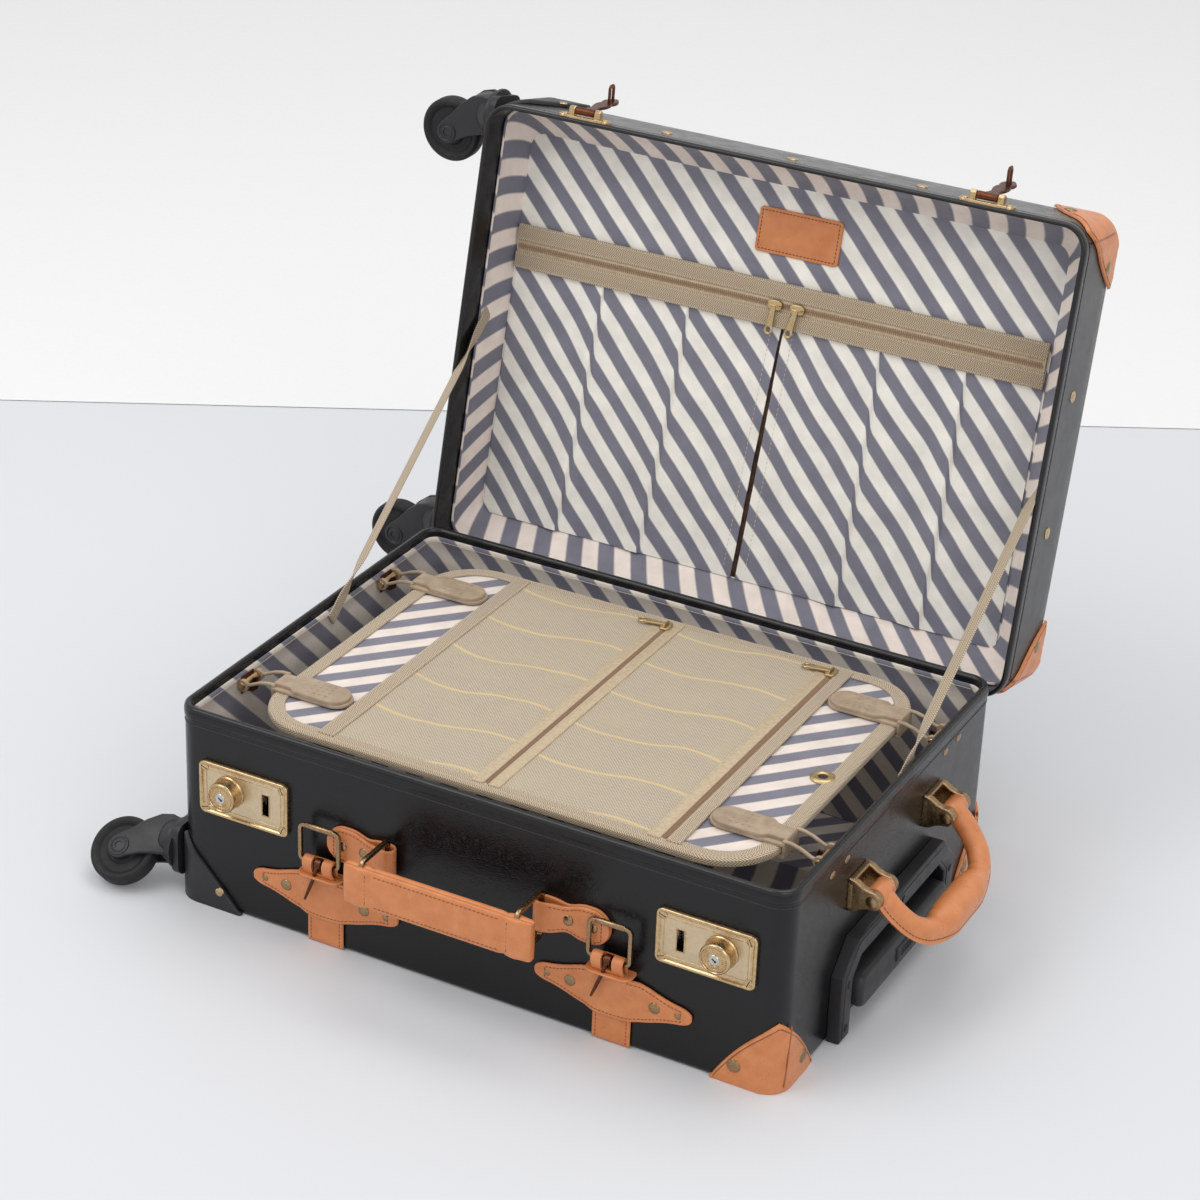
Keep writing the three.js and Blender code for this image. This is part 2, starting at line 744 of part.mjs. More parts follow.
// Trolley: arch round the grip, fixed tubes, and the grip with its rods and button
function trolleyBezel() {
  const inner = bezelHalfWidth - bezelLeg;
  const top = bezelTall - bezelLeg;
  const chamfer = bezelChamfer - innerChamferShare * bezelLeg;
  const arch = [
    [-bezelHalfWidth, seat],
    [-inner, seat],
    [-inner, top - chamfer],
    [-inner + chamfer, top],
    [inner - chamfer, top],
    [inner, top - chamfer],
    [inner, seat],
    [bezelHalfWidth, seat],
    [bezelHalfWidth, bezelTall - bezelChamfer],
    [bezelHalfWidth - bezelChamfer, bezelTall],
    [-bezelHalfWidth + bezelChamfer, bezelTall],
    [-bezelHalfWidth, bezelTall - bezelChamfer],
  ];
  return sidePlate(polygon(arch), halfLength + seat, halfLength + seat + bezelDepth);
}

function trolleyTubes() {
  const start = -halfLength + shellWall + tubeEndInset;
  const tubes = tubeHoles(0, start, halfLength);
  const bores = tubeHoles(-tubeWall, start - overrun, halfLength + overrun);
  const floor = shellFloor + seat;
  const reach = tubeOffset + tubeWidth / 2;
  const plate = block(start, start + braceLength, -reach, reach, floor, floor + braceThickness);
  const feet = [-tubeOffset, tubeOffset].map((y) => block(
    start, start + braceLength, y - tubeWidth / 2, y + tubeWidth / 2,
    floor, tubeHeight - tubeTall / 2 + tubeWall / 2,
  ));
  return cut(join([...tubes, plate, ...feet]), bores);
}

function trolleyGrip() {
  const back = halfLength + 2 * seat;
  const front = back + gripDepth;
  const outline = roundedRectangle(gripWidth, gripTall, gripCorner);
  const bar = extruded(outline, gripDepth, 3);
  bar.applyMatrix4(new THREE.Matrix4().set(
    0, 0, 1, back, 1, 0, 0, 0, 0, 1, 0, gripHeight, 0, 0, 0, 1,
  ));
  const grow = -tubeWall - running;
  const start = -halfLength + rodEndInset;
  const rods = tubeHoles(grow, start, back + running);
  const bores = tubeHoles(grow - rodWall, start - overrun, back - running);
  const pocketDepth = buttonLength - buttonProud + buttonTravel + running;
  const pocket = block(
    front - pocketDepth, front + overrun,
    -buttonWidth / 2 - seat, buttonWidth / 2 + seat,
    gripHeight - buttonTall / 2 - seat, gripHeight + buttonTall / 2 + seat,
  );
  return cut(join([toSolid(bar), ...rods]), [pocket, ...bores]);
}

function trolleyButton() {
  const front = halfLength + 2 * seat + gripDepth + buttonProud;
  return block(
    front - buttonLength, front, -buttonWidth / 2, buttonWidth / 2,
    gripHeight - buttonTall / 2, gripHeight + buttonTall / 2,
  );
}

// Hinge: each leaf carries every other knuckle; the base leaf also carries the pin
function knuckleSpans(first) {
  const pitch = hingeLength / hingeKnuckles;
  const spans = [];
  for (let i = first; i < hingeKnuckles; i += 2) {
    const start = -hingeLength / 2 + i * pitch;
    spans.push([start + seat, start + pitch - seat]);
  }
  return spans;
}

function baseLeaf() {
  const low = -hingeKnuckleRadius - hingeWebHeight;
  const wall = -hingeOut + seat;
  const half = hingeLength / 2 - seat;
  const plate = block(-half, half, wall, wall + hingeLeafThickness, low - hingeLeafHeight, low);
  const knuckles = knuckleSpans(0).map(([x0, x1]) => join([
    rod(hingeKnuckleRadius, 'x', x0, x1, [0, 0, 0], 12),
    block(x0, x1, wall, 0, low - hingeWebHeight, low + hingeWebHeight),
    block(x0, x1, -hingePinRadius, hingePinRadius, low, 0),
  ]));
  const pin = rod(hingePinRadius, 'x', -half, half, [0, 0, 0], 10);
  return join([plate, ...knuckles, pin]);
}

function lidLeaf() {
  const wall = -hingeKnuckleRadius;
  const low = hingeKnuckleRadius + running;
  const half = hingeLength / 2 - seat;
  const plate = block(-half, half, wall, wall + hingeLeafThickness, low, low + hingeLeafHeight);
  const knuckles = knuckleSpans(1).map(([x0, x1]) => join([
    rod(hingeKnuckleRadius, 'x', x0, x1, [0, 0, 0], 12),
    block(x0, x1, wall, wall + hingeLeafThickness, 0, low + hingeWebHeight),
  ]));
  const bore = rod(hingePinRadius + seat, 'x', -half, half, [0, 0, 0], 10);
  return join([plate, ...knuckles]).subtract(bore);
}

// Divider panel, its four clips and its zip sliders
function dividerPanel() {
  const outline = roundedRectangle(2 * dividerHalfLength, 2 * dividerHalfWidth, dividerCorner);
  return slab(outline, dividerBottom, dividerTop, 5);
}

// The clip on the +X side; its jaws hold the divider's edge and its hook lies at the wall
function dividerClip() {
  const edge = dividerHalfLength + seat;
  const half = clipWidth / 2;
  const top = dividerTop + seat;
  const lever = top + clipPlate + clipGape;
  const inner = edge - clipReach;
  const wall = halfLength - liningInset - liningWall - seat;
  const hookHeight = dividerTop - clipHookRadius;
  const hookPlace = wall - clipHookRadius;
  const pieces = [
    block(inner, edge + clipWall, -half, half, top, top + clipPlate),
    block(inner + clipLeverShort, edge + clipWall, -half, half, lever, lever + clipPlate),
    block(edge, edge + clipWall, -half, half, dividerBottom - seat - clipPlate, lever),
    block(edge - clipUnderReach, edge + clipWall, -half, half,
      dividerBottom - seat - clipPlate, dividerBottom - seat),
    rod(clipHookRadius, 'y', -clipHookWidth / 2, clipHookWidth / 2, [hookPlace, 0, hookHeight], 12),
  ];
  [-1, 1].forEach((side) => {
    const y = side * clipArmSpread / 2;
    pieces.push(block(
      edge, hookPlace, y - clipArmWidth / 2, y + clipArmWidth / 2,
      hookHeight - clipPlate / 2, hookHeight + clipPlate / 2,
    ));
  });
  return join(pieces);
}

// Zip slider along local X, seated on a tape at z = 0. Its pull lies along -X, or hangs across it.
function zipSlider(hanging) {
  const top = seat + sliderTall;
  const half = pullWidth / 2;
  const body = block(
    -sliderLength / 2, sliderLength / 2, -sliderWidth / 2, sliderWidth / 2, seat, top,
  );
  const pull = hanging
    ? block(-half, half, -pullLength, 0, top - pullThickness, top)
    : block(-pullLength, 0, -half, half, top - pullThickness, top);
  return body.add(pull);
}

// Lid shell, lining and pocket, drawn shut with the rim at z = 0
function lidShell() {
  const hollow = roundedBox(lidClearance, -overrun, lidDepth - lidTop);
  return roundedBox(lidGrow, 0, lidDepth).subtract(hollow);
}

function lidLining() {
  const rim = lidOverlap + lidClearance;
  const tray = roundedBox(lidClearance - seat, rim, lidDepth - lidTop - seat);
  return tray.subtract(roundedBox(lidLiningGrow, -overrun, lidPanel));
}

function lidPocket() {
  const back = lidPanel - seat;
  const front = back - pocketThickness;
  const points = [[-pocketHalfLength, back], [-pocketHalfLength, front]];
  const pitch = 2 * pocketHalfLength / pleats;
  for (let i = 1; i < pleats; i += 1) {
    const x = -pocketHalfLength + i * pitch;
    points.push([x - pleatWidth, front - pleatDepth / 2]);
    points.push([x, front - pleatDepth]);
    points.push([x, front + pleatDepth / 2]);
    points.push([x + pleatWidth, front]);
  }
  points.push([pocketHalfLength, front], [pocketHalfLength, back]);
  const body = frontPlate(polygon(points), -pocketBottom, pocketTop);
  const band = block(
    -pocketHalfLength, pocketHalfLength,
    -pocketTop - tapeWidth / 2, -pocketTop + tapeWidth / 2,
    front - pleatDepth - tapeThickness, back,
  );
  return body.add(band);
}

// A stay's ribbon between two points, flat to the side wall
function stayRibbon(from, to) {
  const along = new THREE.Vector3().subVectors(to, from);
  const length = along.length();
  along.normalize();
  const across = new THREE.Vector3(1, 0, 0).cross(along).normalize();
  const face = new THREE.Vector3().crossVectors(along, across);
  const geometry = new THREE.BoxGeometry(length, stayWidth, stayThickness);
  geometry.applyMatrix4(new THREE.Matrix4().makeBasis(along, across, face));
  const middle = new THREE.Vector3().addVectors(from, to).multiplyScalar(1 / 2);
  geometry.translate(middle.x, middle.y, middle.z);
  return toSolid(geometry);
}

function addStay(parent, name, side) {
  const y = -stayLidPlace;
  const z = stayLidRise;
  const cosine = Math.cos(lidOpenAngle);
  const sine = Math.sin(lidOpenAngle);
  const baseX = halfLength - liningInset - liningWall - 2 * seat - stayThickness / 2;
  const lidX = halfLength + lidLiningGrow - seat - stayThickness / 2;
  const from = new THREE.Vector3(side * baseX, stayBasePlace, baseHeight - stayBaseDrop);
  const to = new THREE.Vector3(
    side * lidX,
    halfWidth + hingeOut + y * cosine + z * sine,
    lidRimHeight - y * sine + z * cosine,
  );
  add(parent, name, stayRibbon(from, to), beigeWebbing);
}

// Assembly of the base

function addFront(parent) {
  const wall = -halfWidth;
  for (const side of [-1, 1]) {
    const label = side < 0 ? 'left' : 'right';
    const lock = side * lockOffset;
    const knobPlace = [lock + side * knobOffset, wall, lockHeight + knobRise];
    add(parent, `lock_plate_${label}`, lockPlate(side), brass, [lock, wall, lockHeight]);
    add(parent, `lock_knob_${label}`, lockKnob(), brass, knobPlace);
    const bar = [side * loopOffset, wall - seat - foldRadius, handleHeight];
    add(parent, `handle_tab_${label}`, handleTab(side), tanLeather, bar);
    add(parent, `handle_loop_${label}`, handleLoop(), darkBrass, bar);
    const strap = side * strapOffset;
    const pivot = [strap, wall - buckleOut, buckleHeight];
    const frameMiddle = [strap, wall - buckleOut, buckleHeight + buckleTall / 2];
    add(parent, `strap_${label}`, buckleStrap(), tanLeather, [strap, wall, 0]);
    add(parent, `buckle_frame_${label}`, buckleFrame(), darkBrass, frameMiddle);
    add(parent, `buckle_tongue_${label}`, buckleTongue(), darkBrass, pivot);
  }
  const bandPlace = [0, wall - seat - foldRadius - loopReach, handleHeight];
  add(parent, 'front_handle', handleBand(), tanLeather, bandPlace);
}

function addSide(parent) {
  for (const [label, sign] of [['front', -1], ['back', 1]]) {
    const foot = [halfLength, sign * sidePivotOffset, sidePivotHeight];
    add(parent, `side_bracket_${label}`, sideBracket(), brass, foot);
  }
  const pivot = [halfLength + sidePivotOut, 0, sidePivotHeight];
  add(parent, 'side_handle', sideHandle(), tanLeather, pivot, [0, sideHandleAngle, 0]);
  add(parent, 'trolley_bezel', trolleyBezel(), blackPlastic);
  add(parent, 'trolley_tubes', trolleyTubes(), steel);
  add(parent, 'trolley_grip', trolleyGrip(), blackPlastic);
  add(parent, 'trolley_button', trolleyButton(), blackPlastic);
}

function addDivider(parent) {
  add(parent, 'divider_panel', dividerPanel(), meshPanel);
  for (const [endName, endTurn] of [['left', Math.PI], ['right', 0]]) {
    for (const [sideName, sign] of [['front', -1], ['back', 1]]) {
      const place = [0, sign * clipOffset, 0];
      add(parent, `clip_${endName}_${sideName}`, dividerClip(), beigeWebbing, place, [0, 0, endTurn]);
    }
  }
  dividerZipShares.forEach((share, i) => {
    const place = [share * dividerHalfLength, dividerHalfWidth - dividerSliderInset, dividerTop];
    const name = `divider_slider_${i === 0 ? 'middle' : 'right'}`;
    add(parent, name, zipSlider(false), brass, place, [0, 0, Math.PI / 2]);
  });
}

function addBase(parent) {
  add(parent, 'base_shell', baseShell(), blackVinyl);
  add(parent, 'base_lining', baseLining(), stripedLining);
  for (const [label, sign] of [['front', -1], ['back', 1]]) {
    const cap = cornerGuard(0, capThickness, 1, sign, capReach, capHeight, capBulgeShare);
    add(parent, `corner_cap_${label}`, cap, tanLeather, [0, 0, seat]);
    const housing = addCaster(parent, `base_${label}`, 0, sign, casterHeight, -casterLeanAngle);
    add(parent, `caster_housing_base_${label}`, housing, blackPlastic, [0, 0, seat]);
  }
  add(parent, 'hinge_base_leaf', baseLeaf(), steel, [0, halfWidth + hingeOut, lidRimHeight]);
  addFront(parent);
  addSide(parent);
  addDivider(parent);
  addStay(parent, 'stay_left', -1);
  addStay(parent, 'stay_right', 1);
}

// Assembly of the lid, in a group that is hung on the hinge axis

function addLidCorners(parent) {
  const flipped = new THREE.Group();
  flipped.position.z = lidDepth;
  flipped.rotation.x = Math.PI;
  parent.add(flipped);
  for (const [label, sign] of [['hinge', -1], ['front', 1]]) {
    const cap = cornerGuard(lidGrow, capThickness, 1, sign, capReach, capHeight, capBulgeShare);
    add(flipped, `lid_corner_cap_${label}`, cap, tanLeather);
    const lean = lidOpenAngle - Math.PI;
    const housing = addCaster(flipped, `lid_${label}`, lidGrow, sign, lidCasterDrop, lean);
    add(flipped, `caster_housing_lid_${label}`, housing, blackPlastic);
  }
}

function addHasps(parent) {
  for (const side of [-1, 1]) {
    const label = side < 0 ? 'left' : 'right';
    const x = side * slotPlace;
    const wall = -halfWidth - lidGrow;
    add(parent, `hasp_plate_${label}`, haspPlate(), brass, [x, wall, 0]);
    const pivot = [x, wall - haspPivotOut, haspPivotRise];
    add(parent, `hasp_arm_${label}`, haspArm(), darkBrass, pivot, [-haspOpenAngle, 0, 0]);
  }
}

function addLid(parent) {
  const hinge = new THREE.Group();
  hinge.position.set(0, halfWidth + hingeOut, lidRimHeight);
  hinge.rotation.x = -lidOpenAngle;
  parent.add(hinge);
  add(hinge, 'hinge_lid_leaf', lidLeaf(), steel);
  const lid = new THREE.Group();
  lid.position.y = -halfWidth - hingeOut;
  hinge.add(lid);
  add(lid, 'lid_shell', lidShell(), blackVinyl);
  add(lid, 'lid_lining', lidLining(), stripedLining);
  add(lid, 'lid_pocket', lidPocket(), stripedLining);
  const bandFace = lidPanel - seat - pocketThickness - pleatDepth - tapeThickness;
  lidSliderPlaces.forEach((x, i) => {
    const name = `lid_slider_${i === 0 ? 'left' : 'right'}`;
    const place = [x, -pocketTop, bandFace];
    add(lid, name, zipSlider(true), brass, place, [Math.PI, 0, 0]);
  });
  addLidCorners(lid);
  addHasps(lid);
}

const suitcase = new THREE.Group();
addBase(suitcase);
addLid(suitcase);

export default suitcase;
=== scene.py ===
import json
import math

import bmesh
import bpy
import numpy as np
from mathutils import Matrix, Vector, noise

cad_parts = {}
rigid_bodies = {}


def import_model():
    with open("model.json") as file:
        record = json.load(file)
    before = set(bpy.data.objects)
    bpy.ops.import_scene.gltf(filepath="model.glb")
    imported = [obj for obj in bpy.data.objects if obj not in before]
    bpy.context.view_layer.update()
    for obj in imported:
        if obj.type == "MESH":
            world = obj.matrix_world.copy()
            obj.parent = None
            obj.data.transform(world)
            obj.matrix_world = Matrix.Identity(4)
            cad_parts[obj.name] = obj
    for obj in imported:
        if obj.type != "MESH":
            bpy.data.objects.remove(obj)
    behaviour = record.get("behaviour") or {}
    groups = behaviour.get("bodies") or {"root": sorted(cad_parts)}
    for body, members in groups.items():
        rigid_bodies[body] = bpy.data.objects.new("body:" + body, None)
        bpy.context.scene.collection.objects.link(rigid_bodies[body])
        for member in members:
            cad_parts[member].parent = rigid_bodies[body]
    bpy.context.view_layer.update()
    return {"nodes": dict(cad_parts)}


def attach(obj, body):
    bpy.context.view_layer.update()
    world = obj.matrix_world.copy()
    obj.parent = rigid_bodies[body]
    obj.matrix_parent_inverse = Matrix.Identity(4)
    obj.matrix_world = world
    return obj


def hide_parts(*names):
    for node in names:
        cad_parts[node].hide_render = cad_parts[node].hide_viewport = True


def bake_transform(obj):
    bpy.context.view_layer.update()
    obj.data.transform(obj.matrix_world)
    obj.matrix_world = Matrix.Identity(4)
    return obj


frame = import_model()

# Sizes in millimetres, the same values as the CAD source

MM = 0.001
LENGTH, WIDTH, HEIGHT = 490.0, 352.0, 160.0
HALF_X, HALF_Y = LENGTH / 2, WIDTH / 2
CORNER, WALL, FLOOR, SEAT = 16.0, 5.0, 4.0, 0.3
LID_DEPTH, LID_WALL, LID_TOP = 70.0, 3.2, 4.0
LID_CLEARANCE = 1.2
LID_GROW = LID_CLEARANCE + LID_WALL
OPEN = 103.0
HINGE_Y = HALF_Y + LID_GROW + SEAT + 2.4
HINGE_Z = HEIGHT - 24.0
DIVIDER_TOP = 151.0
LOCK_X, LOCK_Z, HASP_X = 186.0, 102.0, 167.0
SLOT_X = LOCK_X - HASP_X
STRAP_X, STRAP_Y = HALF_X * 0.4776, 41.0
LOOP_X, LOOP_OUT, HANDLE_Z = HALF_X * 0.2531, 6.5, 91.0
PIVOT_Y, PIVOT_Z, PIVOT_OUT = HALF_Y * 0.3693, 111.0, 18.0
GRIP_Z, ROD_Y, ROD_Z = 31.0, HALF_Y * 0.3409, 24.0
CASTER_Z = 36.0
CLIP_Y = HALF_Y * 0.5511

# Angles at rest, in degrees

CASTER_LEAN, HASP_LEAN, GRIP_LEAN, KEY_TURN, STAY_TWIST = -50, -172, 45, -35, 55

# Camera and light

CAMERA_AT = (0.9412, -1.8192, 1.2912)
AZIMUTH, ELEVATION, ROLL = math.radians(27.275), math.radians(27.249), math.radians(2.351)
LENS, SENSOR = 96.015, 36.0
FLOOR_COLOUR = (0.690, 0.700, 0.722, 1)
WALL_COLOUR = (0.83, 0.83, 0.826, 1)
FLOOR_REACH, WALL_REACH, WALL_LIFT = 9, 30, 0.0008
HORIZON_PX, FRAME_PX = 415.0, 1200.0
WORLD_STRENGTH = 0.78


def srgb(r, g, b):
    def line(v):
        v /= 255.0
        return v / 12.92 if v <= 0.04045 else ((v + 0.055) / 1.055) ** 2.4
    return (line(r), line(g), line(b), 1.0)


def turn(axis, degrees):
    return np.array(Matrix.Rotation(math.radians(degrees), 4, axis))


def shift(x, y, z):
    return np.array(Matrix.Translation((x, y, z)))


def basis(x_axis, y_axis, z_axis, origin=(0, 0, 0)):
    """A matrix that sends local x, y, z to the given directions."""
    made = np.eye(4)
    for column, axis in enumerate((x_axis, y_axis, z_axis)):
        made[:3, column] = axis
    made[:3, 3] = origin
    return made


FRONT = basis((1, 0, 0), (0, 0, 1), (0, -1, 0))
RIGHT = basis((0, 1, 0), (0, 0, 1), (1, 0, 0))
LEFT = basis((0, 1, 0), (0, 0, 1), (-1, 0, 0))
ENDWAYS = basis((0, 1, 0), (1, 0, 0), (0, 0, 1))
FLAT = np.eye(4)
MIRROR_X, MIRROR_Y = np.diag([-1.0, 1.0, 1.0, 1.0]), np.diag([1.0, -1.0, 1.0, 1.0])
LID = shift(0, HINGE_Y, HINGE_Z) @ turn("X", -OPEN) @ shift(0, -HINGE_Y, 0)
FLIP = shift(0, 0, LID_DEPTH) @ np.diag([1.0, 1.0, -1.0, 1.0])
OUT, IN = (0, 0, 1), (0, 0, -1)


# Meshes in code. A shape is (points, faces) or (points, faces, uv), in millimetres.

def moved(shape, matrix):
    points = np.asarray(shape[0], float)
    return (points @ matrix[:3, :3].T + matrix[:3, 3], *shape[1:])


def put(shape, x, y, z, way=FLAT):
    return moved(shape, shift(x, y, z) @ way)


def merged(shapes):
    points, faces, count = [], [], 0
    for s in shapes:
        points.append(np.asarray(s[0], float))
        faces += [tuple(i + count for i in f) for f in s[1]]
        count += len(points[-1])
    out = (np.vstack(points), faces)
    if all(len(s) > 2 for s in shapes):
        out += (np.vstack([np.asarray(s[2], float) for s in shapes]),)
    return out


def mesh_object(name, shape):
    """An object in the scene with the shape's mesh, its normals outwards."""
    mesh = bpy.data.meshes.new(name)
    points = (np.asarray(shape[0], float) * MM).tolist()
    mesh.from_pydata(points, [], [list(f) for f in shape[1]])
    work = bmesh.new()
    work.from_mesh(mesh)
    bmesh.ops.recalc_face_normals(work, faces=work.faces)
    work.to_mesh(mesh)
    work.free()
    made = bpy.data.objects.new(name, mesh)
    bpy.context.scene.collection.objects.link(made)
    return made


def set_uv(mesh, uv, wrap):
    """uv by vertex. wrap is the length at which u starts again, or 0."""
    layer = mesh.uv_layers.new(name="UVMap")
    index = np.zeros(len(mesh.loops), int)
    mesh.loops.foreach_get("vertex_index", index)
    uv = (np.asarray(uv, float) * MM)[index]
    if wrap:
        size = np.zeros(len(mesh.polygons), int)
        mesh.polygons.foreach_get("loop_total", size)
        face = np.repeat(np.arange(len(size)), size)
        high = np.full(len(size), -1e9)
        np.maximum.at(high, face, uv[:, 0])
        uv[:, 0] += wrap * MM * (high[face] - uv[:, 0] > wrap * MM / 2)
    layer.data.foreach_set("uv", uv.ravel())


def piece(name, shape, material, body, replaces=(), sharp=38, wrap=0.0, slot=None):
    """Makes the object, lets it ride on its body and stand for its CAD nodes."""
    made = mesh_object(name, shape)
    mesh = made.data
    if len(shape) > 2:
        set_uv(mesh, shape[2], wrap)
    mesh.shade_smooth()
    mesh.set_sharp_from_angle(angle=math.radians(sharp))
    mesh.materials.append(material)
    if body:
        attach(made, body)
    slot or USUAL_SLOT[material.name]
    if replaces:
        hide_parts(replaces)
    return made


def maker(prefix, matrix, body):
    """A piece() for parts that share the start of their name, their place and their body."""
    def add(name, shape, material, replaces=(), sharp=38, **more):
        return piece(prefix + name, moved(shape, matrix), material, body, replaces, sharp, **more)
    return add


def cut(made, shapes, sharp=None):
    """Cuts closed shapes out of an object's mesh, and marks its sharp edges again."""
    cutter = mesh_object("cutter", merged(shapes))
    modifier = made.modifiers.new("cut", "BOOLEAN")
    modifier.object, modifier.operation, modifier.solver = cutter, "DIFFERENCE", "EXACT"
    bpy.context.view_layer.update()
    graph = bpy.context.evaluated_depsgraph_get()
    done = bpy.data.meshes.new_from_object(made.evaluated_get(graph))
    made.modifiers.clear()
    made.data = done
    bpy.data.objects.remove(cutter)
    if sharp:
        done.set_sharp_from_angle(angle=math.radians(sharp))


def rounded_ring(hx, hy, r, seg=8, nx=20, ny=14):
    """Counterclockwise outline of a rounded rectangle, from the foot of its +x side."""
    centres = [(hx - r, hy - r), (r - hx, hy - r), (r - hx, r - hy), (hx - r, r - hy)]
    points = []
    for k, straight in enumerate((ny, nx, ny, nx)):
        a = k * math.pi / 2
        reach = np.array((r * math.cos(a), r * math.sin(a)))
        start, end = centres[k - 1] + reach, centres[k] + reach
        points += [start + (end - start) * i / straight for i in range(straight)]
        for i in range(seg):
            b = a + math.pi / 2 * i / seg
            points.append(centres[k] + np.array((r * math.cos(b), r * math.sin(b))))
    return np.array(points)


def with_height(ring, z):
    return np.column_stack([ring, np.full(len(ring), float(z))])


def stepped(hx, hy, r, steps, seg=8, nx=6, ny=4, share=1.0, least=0.0):
    """A rounded rectangle for each (outward offset, height); share is how far r follows."""
    return [with_height(rounded_ring(hx + o, hy + o, max(r + o * share, least), seg, nx, ny), z)
            for o, z in steps]


def loft(rings, start=True, end=True):
    """Closed rings joined one to the next, with or without a face at each end."""
    n, m = len(rings[0]), len(rings)
    faces = [(i * n + j, i * n + (j + 1) % n, (i + 1) * n + (j + 1) % n, (i + 1) * n + j)
             for i in range(m - 1) for j in range(n)]
    if start:
        faces.append(tuple(range(n - 1, -1, -1)))
    if end:
        faces.append(tuple((m - 1) * n + j for j in range(n)))
    return np.vstack(rings), faces


def around(radius, count, first=0.0):
    """count points evenly spaced on a circle."""
    angles = first + np.arange(count) * 2 * math.pi / count
    return [(radius * math.cos(a), radius * math.sin(a)) for a in angles]


def arc(cx, cy, r, a0, a1, n):
    angles = [a0 + (a1 - a0) * i / n for i in range(n + 1)]
    return [(cx + r * math.cos(a), cy + r * math.sin(a)) for a in angles]


def offset_outline(outline, amount):
    """Each point moved inwards along the mean normal of its two edges."""
    p = np.asarray(outline, float)
    before, after = np.roll(p, 1, 0), np.roll(p, -1, 0)
    normals = []
    for edge in (p - before, after - p):
        edge /= np.linalg.norm(edge, axis=1)[:, None] + 1e-9
        normals.append(np.column_stack([-edge[:, 1], edge[:, 0]]))
    normal = normals[0] + normals[1]
    normal /= np.linalg.norm(normal, axis=1)[:, None] + 1e-9
    miter = np.clip(1 / np.maximum((normal * normals[0]).sum(1), 0.5), 1, 1.6)[:, None]
    area = 0.5 * np.sum(p[:, 0] * after[:, 1] - after[:, 0] * p[:, 1])
    return p + normal * miter * amount * (1 if area > 0 else -1)


def plate(outline, thick, edge=0.7, steps=3, crown=0.0, z0=0.0):
    """An extruded outline with its upper edge rounded; crown swells the middle."""
    top = z0 + thick
    levels = [(0, z0), (0, top - edge)]
    for a in np.linspace(0, math.pi / 2, steps + 1)[1:]:
        levels.append((edge * (1 - math.cos(a)), top - edge + edge * math.sin(a)))
    if crown:
        for share in (0.35, 0.7, 1.0):
            levels.append((edge + 5.0 * share, top + crown * math.sin(share * math.pi / 2)))
    return loft([with_height(offset_outline(outline, inset), z) for inset, z in levels])


def sweep(path, section, closed=False, up=None, scale=None):
    """A closed section (across, along the normal) carried along a path."""
    p, section = np.asarray(path, float), np.asarray(section, float)
    t = np.roll(p, -1, 0) - np.roll(p, 1, 0) if closed else np.gradient(p, axis=0)
    t /= np.linalg.norm(t, axis=1)[:, None] + 1e-12
    if up is not None:
        side = np.cross(t, np.broadcast_to(np.asarray(up, float), p.shape))
        side /= np.linalg.norm(side, axis=1)[:, None] + 1e-12
    else:
        seed = np.array((0, 0, 1.0)) if abs(t[0][2]) < 0.9 else np.array((1.0, 0, 0))
        side = [np.cross(t[0], seed)]
        side[0] /= np.linalg.norm(side[0])
        for way in t[1:]:
            s = side[-1] - way * np.dot(side[-1], way)
            side.append(s / (np.linalg.norm(s) + 1e-12))
        side = np.array(side)
    normal = np.cross(side, t)
    factor = np.ones(len(p)) if scale is None else scale
    rings = [p[i] + factor[i] * (section[:, :1] * side[i] + section[:, 1:] * normal[i])
             for i in range(len(p))]
    points, faces = loft(rings, not closed, not closed)
    if closed:
        n = len(section)
        last = (len(p) - 1) * n
        faces += [(last + j, last + (j + 1) % n, (j + 1) % n, j) for j in range(n)]
    return points, faces


def strip_section(width, thick, n=4):
    """A flat strip's section with rounded edges."""
    r = thick / 2
    w = width / 2 - r
    top = [(w * (1 - 2 * k / 6), r) for k in range(1, 6)]
    return (arc(w, 0, r, -math.pi / 2, math.pi / 2, n) + top
            + arc(-w, 0, r, math.pi / 2, 3 * math.pi / 2, n))


def tube(path, radius, sides=8, closed=False, scale=None):
    return sweep(path, around(radius, sides), closed, scale=scale)


def lathe(profile, sides=32):
    """A profile of (radius, height) turned about local z; it starts and ends on the axis."""
    rings = [with_height(np.array(around(r, sides)), z) for r, z in profile[1:-1]]
    points, faces = loft(rings, False, False)
    points = np.vstack([points, [(0, 0, profile[0][1]), (0, 0, profile[-1][1])]])
    first, top = len(points) - 2, (len(rings) - 1) * sides
    faces += [(first, (i + 1) % sides, i) for i in range(sides)]
    faces += [(first + 1, top + i, top + (i + 1) % sides) for i in range(sides)]
    return points, faces


def disc(radius, low, high, sides=20):
    return lathe([(0, low), (radius, low), (radius, high), (0, high)], sides)


def roller(radius, half, step, bevel, sides=20):
    """A rod along local z whose ends are stepped in."""
    inner, edge = radius - step, half - bevel
    return lathe([(0, -half), (inner, -half), (radius, -edge),
                  (radius, edge), (inner, half), (0, half)], sides)


def dome(radius, height, sides=20):
    profile = [(0, 0), (radius, 0.0), (radius, height * 0.18)]
    profile += [(radius * math.cos(a), height * (0.18 + 0.82 * math.sin(a)))
                for a in np.linspace(0.15, 1.4, 6)]
    return lathe(profile + [(0, height)], sides)


def domes(radius, height, spots, sides=20):
    """Domed heads at each (x, y, out)."""
    return merged([put(dome(radius, height, sides), *s) for s in spots])


